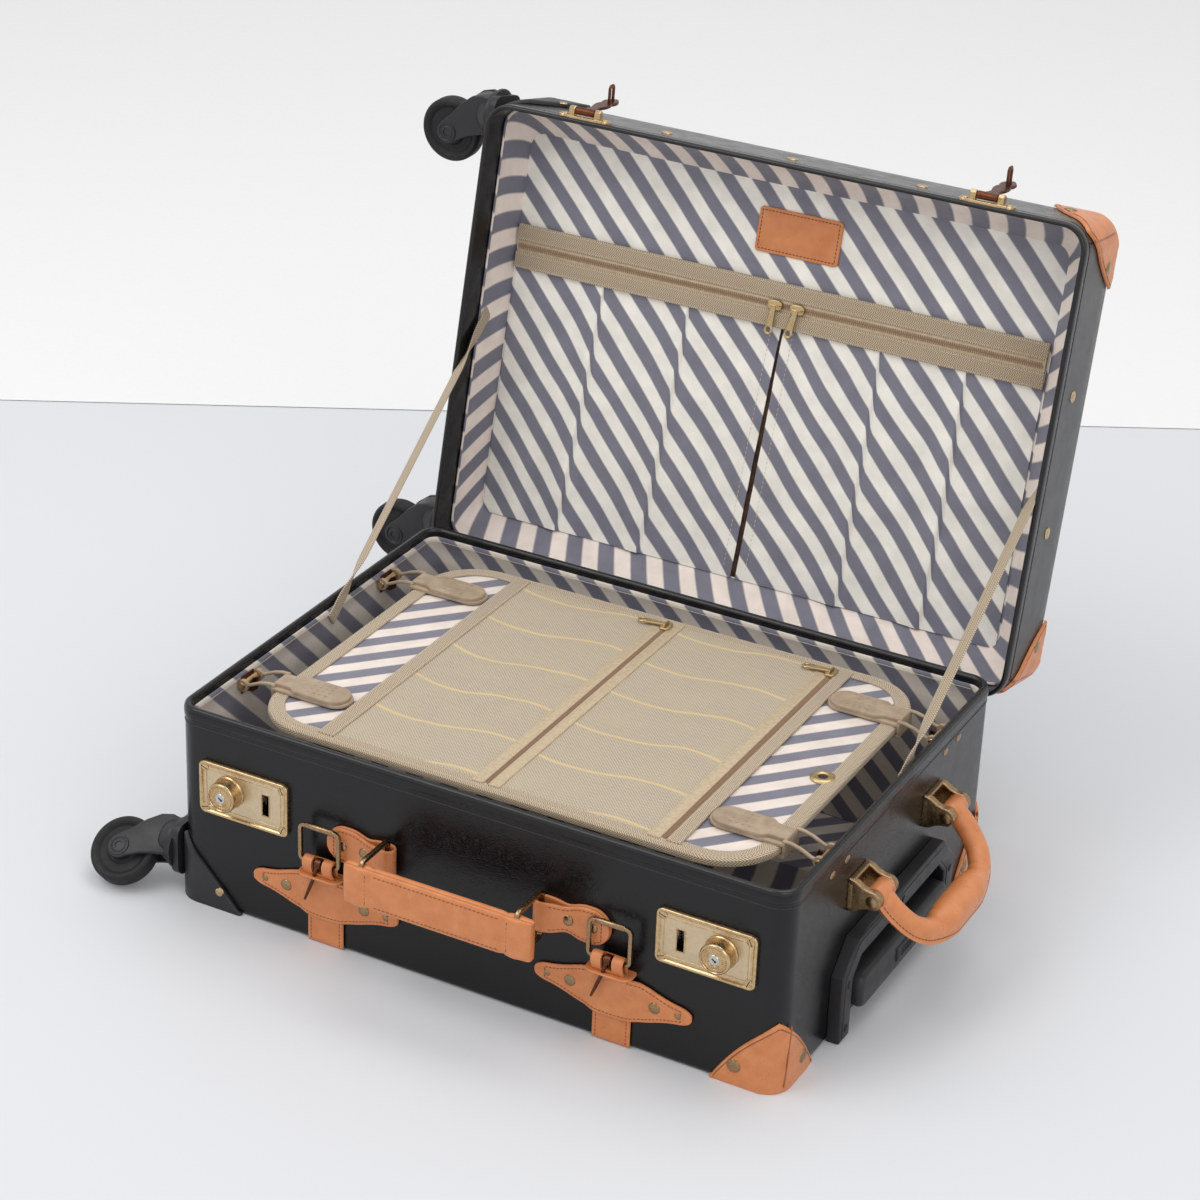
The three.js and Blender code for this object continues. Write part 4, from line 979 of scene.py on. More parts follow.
def hub_screws():
    ring = lathe([(0, 0.2), (3.0, 0.2), (3.2, 0.9), (4.6, 0.9), (5.2, 0.4), (6.2, 0.3),
                  (6.8, 0.9), (7.6, 0.9), (8.0, 0.0), (0, 0.0)], 28)
    one = put(ring, -REACH, -11.2, -TRAIL, FRONT)
    return merged([one, moved(one, MIRROR_Y)])


def wheel_shape():
    w, round_r = WHEEL_W / 2, 3.6
    disc_side = [(6, -w + 2.4), (7.5, -w + 0.8), (11, -w + 0.6),
                 (12.5, -w + 2.6), (18.5, -w + 3.0), (20.5, -w + 1.0)]
    tyre = [(WHEEL_R - round_r + round_r * math.cos(a),
             (w - round_r) * (1 if a > 0 else -1) + round_r * math.sin(a))
            for a in np.linspace(-1.45, 1.45, 14)]
    other_side = [(r, -z) for r, z in reversed(disc_side)]
    whole = [(0, -w + 2.4), *disc_side, *tyre, *other_side, (0, w - 2.4)]
    return moved(lathe(whole, 56), FRONT)


def casters():
    for label, body, sy, grow, low, wall in corners():
        face = -HALF_X - grow - SEAT
        x, y = face - 8.0 - SEAT, sy * (HALF_Y + grow - 13.0)
        if body == "base":
            matrix = shift(x, y, CASTER_Z) @ turn("X", CASTER_LEAN)
        else:
            matrix = shift(*(LID @ (x, y, LID_DEPTH - CASTER_Z, 1.0))[:3])
        add = maker(f"fork_{label}_", matrix, f"fork_{label}")
        add("body", fork_shape(), PLASTIC, f"caster_fork_{label}")
        add("hubs", hub_screws(), PLASTIC)
        wheel = put(wheel_shape(), -REACH, 0, -TRAIL)
        piece(f"wheel_{label}_tyre", moved(wheel, matrix), RUBBER, f"wheel_{label}",
              f"caster_wheel_{label}")
        sheet, _, place = corner_sheet(grow, -1, sy, low, 58.0, 60.0, 0.52, 3.0, 1.6)
        pad = plate(rounded_ring(20.5, 21.0, 9.0, 6, 2, 2), 7.4, 2.4, 4)
        pad = put(pad, face, sy * (HALF_Y + grow - 18.0), CASTER_Z, LEFT)
        boss = lathe([(0, 5.0), (20.0, 5.0), (20.0, 7.2), (19.2, 8.0), (0, 8.0)], 36)
        boss = put(boss, face, y, CASTER_Z, LEFT)
        add = maker(f"housing_{label}", wall, body)
        add("", merged([sheet, pad, boss]), PLASTIC, f"caster_housing_{label}", 50)
        add("_rivet", corner_rivets(place, ((-33.0, 15.0),), 4.0), BRASS, slot="dark_brass")


# Linings

def base_lining():
    profile = [(-5.3, 8.5), (-5.3, 154.4), (-6.0, 155.0),
               (-7.1, 155.0), (-7.5, 154.2), (-7.5, 150.4)]
    profile += [(-6.9, z) for z in np.linspace(149.6, 8.5, 14)]
    rings = []
    for o, z in profile:
        ring, inside = (rounded_ring(HALF_X + o - d, HALF_Y + o - d, CORNER + o - d, 10, 60, 44)
                        for d in (0, 1))
        if o < -6.6 and z < 148:
            wave = np.array([[0.3 * ripple(x, y, z * 0.7, 26.0)] for x, y in ring])
            ring = ring + unit(inside - ring) * wave
        rings.append(with_height(ring, z))
    shape, length = hooped(rings, [z for _, z in profile])
    wall = piece("base_lining_wall", shape, BASE_STRIPES, "base", "base_lining", wrap=length)

    def level(x, y):
        ridge = smooth((abs(y) - 45.0) / 5.0) * smooth((75.0 - abs(y)) / 5.0)
        ridge *= smooth((HALF_X + 2 - abs(x)) / 4.0)
        return 8.2 + 24.7 * ridge + 0.25 * ripple(x, y, 3.0, 40.0)
    flat = rounded_rows(HALF_X - 7.0, HALF_Y - 7.0, 9.0, 40, 120)
    sheet = laid(flat, level, lambda x, y: level(x, y) - 1.3)
    floor = piece("base_lining_floor", sheet, BASE_STRIPES, "base", "base_lining", 50)
    hem = with_height(rounded_ring(HALF_X - 7.5, HALF_Y - 7.5, CORNER - 7.5, 8, 40, 30), 151.6)
    seam = turning_stitches(hem, 4.2, 1.5, lambda c, t: np.cross(OUT, t), 2.8, 0.5, True)
    piece("base_lining_hem_thread", seam, CREAM_THREAD, "base", slot="striped_lining")


# The lid's lining rises from its hem at RIM_Z to a fold at FOLD_Z, which isn't in the middle

RIM_Z, FOLD_Z = 25.2, 58.4
FOLD_MID, FOLD_HALF = (-8.5, 1.3), (228.5, 156.8)


def lid_lining():
    add = maker("lid_lining_", LID, "lid")

    def ring_at(t, out, lift):
        k = t ** 1.3
        hx, hy = 245.5 + (FOLD_HALF[0] - 245.5) * k + out, 176.5 + (FOLD_HALF[1] - 176.5) * k + out
        z = RIM_Z + (FOLD_Z - RIM_Z) * t
        ring = rounded_ring(hx, hy, 16.0 - 4.0 * k, 10, 60, 44) + np.array(FOLD_MID) * k
        wave = np.array([0.5 * ripple(x, y, z, 30.0) for x, y in ring]) * math.sin(math.pi * t)
        return np.column_stack([ring, z + wave + lift])
    steps = np.linspace(0, 1, 10)
    rings = [ring_at(t, 0.0, 0.0) for t in steps]
    rings += [ring_at(t, 0.0 if t == 1 else 1.0, 0.9) for t in steps[::-1]]
    shape, length = hooped(rings, [RIM_Z + t * 42.0 for t in [*steps, *steps[::-1]]])
    wall = add("wall", shape, LID_WALL_STRIPES, "lid_lining", wrap=length)
    rings = [with_height(rounded_ring(245.0 + o, 176.0 + o, 16.0, 8, 60, 44), RIM_Z + 0.2 + z)
             for o, z in around(0.9, 8)]
    roll, length = hooped(rings, range(8))
    add("hem", roll, LID_WALL_STRIPES, "lid_lining", wrap=length)

    def level(x, y):
        inset = min(FOLD_HALF[0] - abs(x - FOLD_MID[0]), FOLD_HALF[1] - abs(y - FOLD_MID[1]))
        return 58.25 + 0.45 * ripple(x * 0.7, y, 1.0, 42.0) * smooth(inset / 14.0)
    flat = rounded_rows(FOLD_HALF[0] + 1.6, FOLD_HALF[1] + 1.6, 13.0, 70, 50, FOLD_MID)
    panel = add("panel", laid(flat, level, lambda x, y: 60.0), LID_STRIPES, "lid_lining", 50)


# The lid's pocket: pleats at PLEATS lean by PLEAT_LEAN where the cloth is widest

BAND_Y = -HALF_Y * 0.367
POCKET_X, POCKET_Y = (-235.0, 218.5), (BAND_Y + 4, 158.0)
PLEATS, PLEAT_LEAN = (-153.5, -77.8, 86.0, 157.0), (-13.0, -14.0, -3.0, -3.0)


def pocket_down(y):
    return (y - POCKET_Y[0]) / (POCKET_Y[1] - POCKET_Y[0])


def slit_at(y):
    """The middle of the slit between the pocket's halves."""
    return 3.6 - 9.0 * pocket_down(y)


def pocket_level(x, y):
    """Height of the pocket's cloth, and how much cloth the pleats before x take up."""
    down = pocket_down(y)
    loose = smooth(down / 0.3) * (1 - 0.5 * smooth((down - 0.8) / 0.2))
    z, extra, high = 57.0, 0.0, 1.7 + 1.8 * loose
    for d in (x - p for p in PLEATS):
        rise = smooth((d + 30.0) / 30.0) ** 1.8 if d <= 0 else 1 - smooth(d / (1.0 + 3.6 * loose))
        z -= high * rise
        extra += 15.0 * smooth(d / (0.9 + 3.4 * loose))
    z += 0.9 * loose * ripple(x * 1.6, y * 0.35, 5.0, 40.0) + 0.35 * ripple(x, y, 9.0, 16.0)
    z -= 0.7 * max(0.0, 1 - abs(x) / 16.0) * smooth(down / 0.2)
    return min(max(z, 53.2), 57.6), extra


def pocket_half(add, name, x0, x1):
    """One half of the pocket's cloth, with knife pleats that the band above pinches."""
    marks = [p + d for p in PLEATS if x0 < p < x1 for d in (-3.0, -1.2, 0, 0.8, 1.8, 3.2, 5.5)]
    xs = np.unique(np.round(np.concatenate([np.linspace(x0, x1, 58), marks]), 3))
    ys = np.linspace(*POCKET_Y, 60)
    front, uv = np.zeros((len(ys), len(xs), 3)), np.zeros((len(ys), len(xs), 2))
    way = 1 if x1 > 1 else -1
    lean_x = [POCKET_X[0], *PLEATS[:2], 0, *PLEATS[2:], POCKET_X[1]]
    leans = [0, *PLEAT_LEAN[:2], 0, *PLEAT_LEAN[2:], 0]
    for i, y in enumerate(ys):
        down = pocket_down(y)
        gap = slit_at(y) + way * (1.1 + 1.1 * smooth(down * 1.6))
        for j, x in enumerate(xs):
            z, extra = pocket_level(x, y)
            lean = np.interp(x, lean_x, leans) * down
            front[i, j] = (x + lean + gap * max(0.0, 1 - abs(x) / 45.0), y, z)
            drift = 3.4 * ripple(x * 0.5, y * 0.8, 2.0, 50.0) * smooth(down / 0.3)
            uv[i, j] = (x + extra + 0.4 * lean + (9.0 if way > 0 else 0.0) + drift, y)
    made = add(name, slab_grid(front, front + (0, 0, 0.6), uv), LID_STRIPES, "lid_pocket", 50)


def coil(x0, x1, y, z):
    """Two rows of zip teeth along x, as small rounded turns of a coil."""
    tooth = stitches([(0, -0.9, 0), (0, 0.9, 0)], OUT, 9.0, 1.9, 1.05)
    at = np.arange(x0, x1, 1.75)
    spots = [(x, y - 1.05, z) for x in at] + [(x + 0.87, y + 1.05, z) for x in at]
    return merged([(tooth[0] + spot, tooth[1]) for spot in spots])


def slider_shape(height, swing):
    """A zip slider: the body along x and its bridge on a tape at this height, and the pull,
    a tapered tongue that ends in a flat ring and hangs along -y."""
    body = plate([(-6, -2.4), (-3.5, -4), (3.5, -4), (6, -2.4),
                  (6, 2.4), (3.5, 4), (-3.5, 4), (-6, 2.4)], 2.6, 0.8, z0=SEAT)
    bridge = [(-4.5, 0, 2.2), (-3.8, 0, 3.8), (-2, 0, 4.4),
              (2, 0, 4.4), (3.8, 0, 3.8), (4.5, 0, 2.2)]
    bridge = sweep(bridge, strip_section(2.6, 1.0), up=(0, 1, 0.01))
    outline = [(-1.7, 0), (1.7, 0), (2.6, 12.5), (3.1, 15.0), (-3.1, 15.0), (-2.6, 12.5)]
    ring = [(1.9, 0.2), (1.9, 1.2), (2.3, 1.5), (3.2, 1.5),
            (3.6, 1.1), (3.6, 0.1), (3.2, 0.0), (2.2, 0.0)]
    ring = hoop([with_height(np.array(around(r, 24)), z) for r, z in ring])
    pull = merged([plate(outline, 1.3, 0.4), put(ring, 0, 17.6, 0)])
    way = turn("Z", 180 + swing) @ turn("X", -4) @ np.diag([1.0, 1.13, 1.0, 1.0])
    return put(merged([body, bridge, put(pull, 0, 0, 3.1, way)]), 0, 0, height)


def lid_pocket():
    add = maker("lid_", LID, "lid")
    pocket_half(add, "pocket_left", POCKET_X[0], 0.0)
    pocket_half(add, "pocket_right", 0.0, POCKET_X[1])
    # A dark brown strip behind the slit is painted shadow inside the pocket.
    slit_shadow_strip = np.array([[(slit_at(y) + x, y, 57.68) for x in (-7.0, 0.0, 7.0)]
                       for y in np.linspace(BAND_Y + 6, POCKET_Y[1] - 1, 24)])
    add("pocket_facing", slab_grid(slit_shadow_strip, slit_shadow_strip + (0, 0, 0.3)), SLIT_SHADOW_CLOTH)
    x0, x1 = POCKET_X
    strips = [tape(x0, x1, BAND_Y + y - 6.5, BAND_Y + y + 6.5, 52.8, 56.6) for y in (-11.1, 11.1)]
    add("zip_band", merged(strips), WEBBING, "lid_pocket")
    add("zip_tape", tape(x0 + 0.3, x1 - 0.3, BAND_Y - 5.2, BAND_Y + 5.2, 54.0, 56.4), SMOOTH_TAPE)
    add("zip_teeth", coil(x0 + 2, x1 - 2, BAND_Y, 53.7), TEETH)
    seams = [stitches([(x0 + 1, BAND_Y + y, 52.7), (x1 - 1, BAND_Y + y, 52.7)], IN, 3.0, 2.2, 0.5)
             for y in (-16.2, -6.2, 6.2, 16.2)]
    add("zip_thread", merged(seams), CREAM_THREAD)
    seams = []
    for way in (-1, 1):
        seam = [(slit_at(y) + way * 9.5, y, pocket_level(way * 8.0, y)[0] - 0.12)
                for y in np.linspace(BAND_Y + 19, 150.0, 40)]
        seams.append(stitches(seam, IN, 4.0, 2.6, 0.5))
    add("pocket_thread", merged(seams), CREAM_THREAD, slot="striped_lining")
    over = turn("X", 180)
    for label, x, swing in (("left", -4.0, -6), ("right", 15.0, -12)):
        slider = put(slider_shape(0, swing), x, BAND_Y, 52.6, over)
        piece(f"lid_zip_slider_{label}", moved(slider, LID), PALE_BRASS, f"zip_lid_{label}",
              f"lid_slider_{label}")
    outline = rounded_ring(35.2, 17.6, 3.0, 5, 6, 5)
    add = maker("lid_patch", LID @ shift(4.2, -119.8, 58.0) @ over, "lid")
    add("", plate(outline, 1.7, 0.7), TAN)
    path = with_height(offset_outline(outline, 2.6), 1.7)
    add("_thread", stitches(path, OUT, 3.0, 2.2, 0.8, True), DARK_THREAD)


# Divider with its nets, zips and clips

def divider():
    add = maker("divider_", FLAT, "divider")
    hx, hy, r, top = HALF_X - 40.0, HALF_Y - 27.0, 46.0, DIVIDER_TOP
    flat = rounded_rows(hx - 1.2, hy - 1.2, r - 1.2, 60, 40)
    board = laid(flat, lambda x, y: top - 0.4 + 0.35 * ripple(x, y, 4.0, 34.0),
                 lambda x, y: top - 4.6)
    add("board", board, DIVIDER_STRIPES, "divider_panel", 50)
    profile = [(-12.0, 0.1), (-11.6, 0.8), (-2.0, 0.9), (0.0, -0.2), (0.7, -2.5), (0.0, -4.8),
               (-2.0, -5.7), (-11.6, -5.6), (-12.0, -5.0), (-1.4, -4.7), (-0.9, -2.5), (-1.4, -0.3)]
    rings = stepped(hx, hy, r, [(o, top + z) for o, z in profile], 20, 50, 36)
    shape, length = hooped(rings, np.cumsum([0, 1.5, 9.6, 2.3, 2.4, 2.4, 2.3, 9.6, 1.5, 1, 1, 1]))
    add("binding", shape, WEBBING, "divider_panel", wrap=length)
    seams = stepped(hx, hy, r, [(-10.6, top + 0.95), (-3.0, top + 0.95)], 16, 20, 14)
    add("binding_thread", merged([stitches(path, OUT, 3.4, 2.5, 0.5, True) for path in seams]),
        CREAM_THREAD)
    for label, x0, x1 in (("left", -139.0, -7.0), ("right", -7.0, 132.0)):
        def level(x, y, x0=x0, x1=x1):
            inside = math.sin(math.pi * (x - x0) / (x1 - x0)) ** 0.5 * smooth((145 - abs(y)) / 18)
            swell = 0.7 + 0.9 * ripple(x, y * 1.5, x0, 38.0) + 0.4 * ripple(x, y, 8.0, 14.0)
            return top + 0.5 + inside * swell
        xs = np.linspace(x0, x1, 34)
        flat = np.array([[(x, y) for x in xs] for y in np.linspace(-145.0, 145.0, 70)])
        sheet = laid(flat, level, lambda x, y: level(x, y) - 0.4)
        net = add(f"net_{label}", sheet, NET, "divider_panel", 60)
    reach = hy - 6.0

    def tapes(*spans):
        return merged([tape(x0, x1, -reach, reach, top + 0.2, top + z) for x0, x1, z in spans])
    add("cross_tapes", tapes((-145.5, -132.5, 2.0), (135.0, 145.5, 2.0)), WEBBING)
    add("zip_tapes", tapes((-18.5, -8.9, 1.9), (-5.1, 4.0, 1.9), (-9.2, -4.8, 0.9),
                           (120.0, 130.2, 1.9), (129.9, 135.4, 0.9)), SMOOTH_TAPE)
    seams = [stitches([(x, -reach + 1, top + 2.0), (x, reach - 1, top + 2.0)], OUT, 3.2, 2.4, 0.5)
             for x in (-17.2, -10.2, -3.8, 2.8, 121.2, 129.0, 136.4, 144.2, -144.2, -133.8)]
    add("tape_thread", merged(seams), CREAM_THREAD)
    quarter = turn("Z", 90)
    for label, x in (("middle", -7.0), ("right", 132.0)):
        teeth = coil(-reach + 2, reach - 2, 0.0, top + 1.3)
        add(f"zip_{label}_teeth", put(teeth, x, 0, 0, quarter), TEETH)
        slider = put(slider_shape(1.0, 180), x, hy - 17.0, top, quarter)
        piece(f"divider_slider_{label}_body", slider, PALE_BRASS, f"zip_divider_{label}",
              f"divider_slider_{label}")
    snap = lathe([(0, 0.2), (3.4, 0.2), (3.6, 1.5), (4.6, 2.1), (6.4, 2.2),
                  (8.2, 1.8), (9.2, 0.9), (9.4, 0.0), (0, 0.0)], 32)
    add("snap", put(snap, 190.0, -8.0, top - 0.2), PALE_BRASS, slot="dark_brass")
    # A black disc in the snap's middle is painted shadow in its hole.
    hole_shadow = lathe([(0, 0.5), (3.3, 0.5), (3.3, 0.0), (0, 0.0)], 20)
    add("snap_hole", put(hole_shadow, 190.0, -8.0, top), PLASTIC)


def jaw(x_end, neck, x_neck, thick, edge, z, steps=3, crown=0.0):
    """One of the clip's plates: a rounded end, straight sides and a narrower neck."""
    half, x_root = 12.4, 208.0
    outline = arc(x_end + half, 0, half, math.pi / 2, 3 * math.pi / 2, 16)
    outline += [(x_neck, -half), (x_neck + 5, -neck), (x_root, -neck),
                (x_root, neck), (x_neck + 5, neck), (x_neck, half)]
    return plate(outline, thick, edge, steps, crown, DIVIDER_TOP + z)


def clips():
    """Clips that hold the divider's edge, drawn on the +x side about their own middle line."""
    top = DIVIDER_TOP
    plastic_parts = [jaw(148.3, 8.5, 189.0, 2.7, 1.2, 3.5, 4, 0.5),
                     jaw(146.5, 12.4, 198.0, 2.3, 0.8, 1.0),
                     jaw(179.5, 12.4, 198.0, 2.3, 0.8, -7.9),
                     box(205.5, 208.3, -12.0, 12.0, top - 7.5, top + 5.6, 1.0),
                     domes(1.0, 0.7, [(164.0 + 5.0 * i, -7.5 + 5.0 * j, top + 6.6)
                                      for i in range(4) for j in range(4)], 10)]
    for y in (-10.0, 10.0):
        path = [(206.0, y, top + 4.6), (212.0, y, top + 4.4), (219.0, y, top + 2.6),
                (227.0, y, top - 1.2), (233.6, y, top - 3.0)]
        plastic_parts.append(sweep(path, strip_section(3.2, 2.6), up=OUT))
        plastic_parts.append(put(disc(4.6, -1.6, 1.6), 233.6, y, top - 3.4, FRONT))
    web = tape(196.0, 201.5, -6.2, 6.2, top + 3.2, top + 6.5, 0.9)
    rod = put(roller(3.1, 12.6, 0.5, 0.4), 234.2, 0, top - 3.4, FRONT)
    claw = [(236.8, 0, top - 10.5), (233.5, 0, top - 10.2), (230.2, 0, top - 7.6),
            (229.8, 0, top - 3.6), (231.0, 0, top - 0.8)]
    claw = sweep(claw, strip_section(6.0, 1.1), up=(0, 1, 0))
    hook = merged([box(236.4, 237.4, -8.0, 8.0, top - 13.0, top + 1.5, 0.4), claw])
    for sx, side in SIDES:
        for sy, end in ((-1, "front"), (1, "back")):
            name = f"clip_{side}_{end}"
            matrix = shift(0, sy * CLIP_Y, 0) @ (FLAT if sx > 0 else turn("Z", 180))
            add = maker(name, matrix, "divider")
            add("_plastic", merged(plastic_parts), BEIGE_PLASTIC, name)
            add("_web", web, PINK_WEB)
            add("_rod", rod, BRASS, name, slot="dark_brass")
            piece(f"{name}_hook", moved(hook, matrix), COPPER, "base")


# Front fittings

def screw(radius, slot_turn):
    """A countersunk screw head, and a dark bar of painted shadow in its slot, in two shapes."""
    head = lathe([(0, 0.1), (radius, 0.1), (radius, 0.45), (radius * 0.86, 0.8),
                  (radius * 0.5, 1.0), (0, 1.05)], 20)
    slot = box(-radius * 0.82, radius * 0.82, -0.35, 0.35, 0.75, 1.12, 0.1)
    return head, moved(slot, turn("Z", slot_turn))


def locks():
    for side, label in SIDES:
        matrix = FRONT @ shift(side * LOCK_X, LOCK_Z, HALF_Y)
        add, slot_x = maker(f"lock_{label}_", matrix, "base"), -side * SLOT_X
        slot = moved(block(slot_x - 2.7, slot_x + 2.7, -8.5, 8.5, -3, 6), matrix)
        rim = stepped(38, 21.5, 5, [(0.0, SEAT), (0.0, 3.0), (-0.3, 3.5), (-0.9, 3.85), (-1.7, 3.9),
                                    (-2.3, 3.6), (-2.7, 2.9), (-3.0, 2.6), (-3.4, 2.7)])
        cut(add("rim", loft(rim), BRASS, f"lock_plate_{label}"), [slot], 38)
        face = stepped(33.6, 17.1, 2.0, [(0, 2.2), (0, 2.75), (-0.3, 2.85)], 6, share=0.3)
        cut(add("face", loft(face), BRASS_PLATE, f"lock_plate_{label}"), [slot])
        step = [(0.5, 2.8), (0.35, 3.05), (-0.35, 3.05), (-0.5, 2.8)]
        add("step", hoop(stepped(31.8, 15.3, 1.2, step, 4, share=0.0)), BRASS)
        lip = [(0.0, 2.8), (0.0, 3.2), (0.6, 3.2), (0.8, 2.8)]
        add("slot_lip", put(hoop(stepped(3.1, 8.9, 0.8, lip, 4, 3, 5, 0.0)), slot_x, 0, 0), BRASS)
        screws = [[put(part, x, y, 2.75) for part in screw(3.3, 20 + 47 * i)]
                  for i, (x, y) in enumerate(((-33, -16.4), (33, -16.4), (33, 16.4), (-33, 16.4)))]
        heads, slot_shadows = zip(*screws)
        add("screws", merged(heads), BRASS)
        # The dark bars in the screw heads are painted shadow in their slots.
        add("screw_slots", merged(slot_shadows), PLASTIC)
        # A black plate at the bottom of the lock's slot is painted shade.
        add("well", box(slot_x - 2.6, slot_x + 2.6, -8.4, 8.4, -5.0, -4.7, 0.1), PLASTIC)
        add("bolt", box(slot_x - 2.3, slot_x + 2.3, -4.0, 3.4, -4.7, -3.6, 0.4), STEEL)
        add = maker(f"knob_{label}_", matrix @ shift(side * 12.0, 2.0, 0), f"knob_{label}")
        body = [(0, 3.05), (12.5, 3.05), (12.5, 4.2), (11.9, 4.8), (11.7, 5.4), (11.7, 13.4),
                (11.4, 14.3), (10.6, 15.1), (9.9, 15.3), (9.5, 14.9), (9.4, 14.4), (7.7, 14.4),
                (7.5, 14.2), (7.2, 14.4), (5.5, 14.4), (5.3, 14.2), (5.0, 14.4), (0, 14.4)]
        add("body", lathe(body, 48), BRASS, f"lock_knob_{label}")
        beads = domes(0.55, 0.55, [(x, y, 14.4) for x, y in around(8.55, 34)], 8)
        tick = box(-0.22, 0.22, 5.7, 6.9, 14.3, 14.75, 0.1)
        ticks = [moved(tick, turn("Z", a)) for a in range(0, 360, 15)]
        add("beads", merged([beads, *ticks]), BRASS)
        cylinder = lathe([(0, 14.3), (4.0, 14.3), (4.0, 14.9), (3.7, 15.25), (0, 15.3)], 28)
        add("cylinder", cylinder, SILVER)
        # A black key-shaped plate on the cylinder is painted shadow for the keyhole.
        key = merged([box(-1.7, 1.2, -0.5, 0.5, 15.2, 15.42, 0.1),
                      put(disc(0.9, 15.2, 15.42, 14), 1.4, 0, 0)])
        add("keyway", moved(key, turn("Z", KEY_TURN)), PLASTIC)


def hasps():
    outline = [(x, y * (1 - 0.34 * bell(abs(x), 15.2, 2.2)))
               for x, y in rounded_ring(22.0, 6.5, 5.5, 8, 10, 2)]
    parts = [plate(outline, 2.0, 0.6, z0=-5.7)]
    octagon = around(3.55, 8, math.pi / 8)
    for sx in (-1, 1):
        parts.append(loft([np.array([(sx * x, b * k, a * k) for a, b in octagon])
                           for x, k in ((8.6, 0.86), (9.2, 1.0), (12.9, 1.0), (13.5, 0.86))]))
        parts.append(box(*sorted((sx * 8.7, sx * 13.4)), -3.0, 3.0, -5.7, -0.5, 0.5))
    parts.append(moved(disc(1.25, -8.7, 8.7, 14), RIGHT))
    rivets = domes(2.9, 1.1, [(-17.6, 0, -3.7), (17.6, 0, -3.7)], 16)
    run = 2.0 + 48.0 * np.sin(np.linspace(0, 1, 34) * math.pi / 2)
    half = 6.3 - 2.5 * bell(run, 14, 6.5) - 1.2 * bell(run, 33.5, 2.6)
    half *= np.sqrt(np.clip((50.4 - run) / 8.5, 0, 1)) * (run > 41.9) + (run <= 41.9)
    arm = plain_leaf([(-a, 0.0) for a in run], np.maximum(half, 0.7), 2.4, 0.7)
    staple = [(0, -37.9, 0), (0, -37.9, -11.6), (0, -38.9, -13.0),
              (0, -43.1, -13.0), (0, -44.1, -11.6), (0, -44.1, 0)]
    arm = merged([moved(roller(3.1, 8.15, 0.4, 0.45), RIGHT), moved(arm, ENDWAYS),
                  sweep(staple, strip_section(3.2, 2.0), up=(1, 0, 0)),
                  put(dome(2.6, 1.2, 16), 0, -24.5, 1.1), put(dome(1.6, 0.9, 14), 0, -46.0, 1.1),
                  box(-3.0, 3.0, -10.5, -8.9, 0.9, 1.9, 0.4)])
    for side, label in SIDES:
        matrix = LID @ FRONT @ shift(side * HASP_X, 7.0, HALF_Y + LID_GROW + 6.0)
        add = maker(f"hasp_{label}_", matrix, "lid")
        add("plate", merged(parts), BRASS, f"hasp_plate_{label}", 24, slot="dark_brass")
        add("rivets", rivets, BRASS, slot="dark_brass")
        piece(f"hasp_{label}_arm", moved(arm, matrix @ turn("X", HASP_LEAN)), COPPER, f"hasp_{label}",
              f"hasp_arm_{label}")


def tab_half(x):
    if x > 38.0:
        return math.sqrt(max(14.0 ** 2 - (x - 38.0) ** 2, 0.8))
    return 12.0 + 2.0 * smooth((x - 14.0) / 20.0) - 1.9 * bell(x, 19.0, 7.0)


def tab_rise(x):
    """How far a tab's upper layer is lifted by the loop under it."""
    return 7.4 * smooth((24.0 - x) / 24.0)


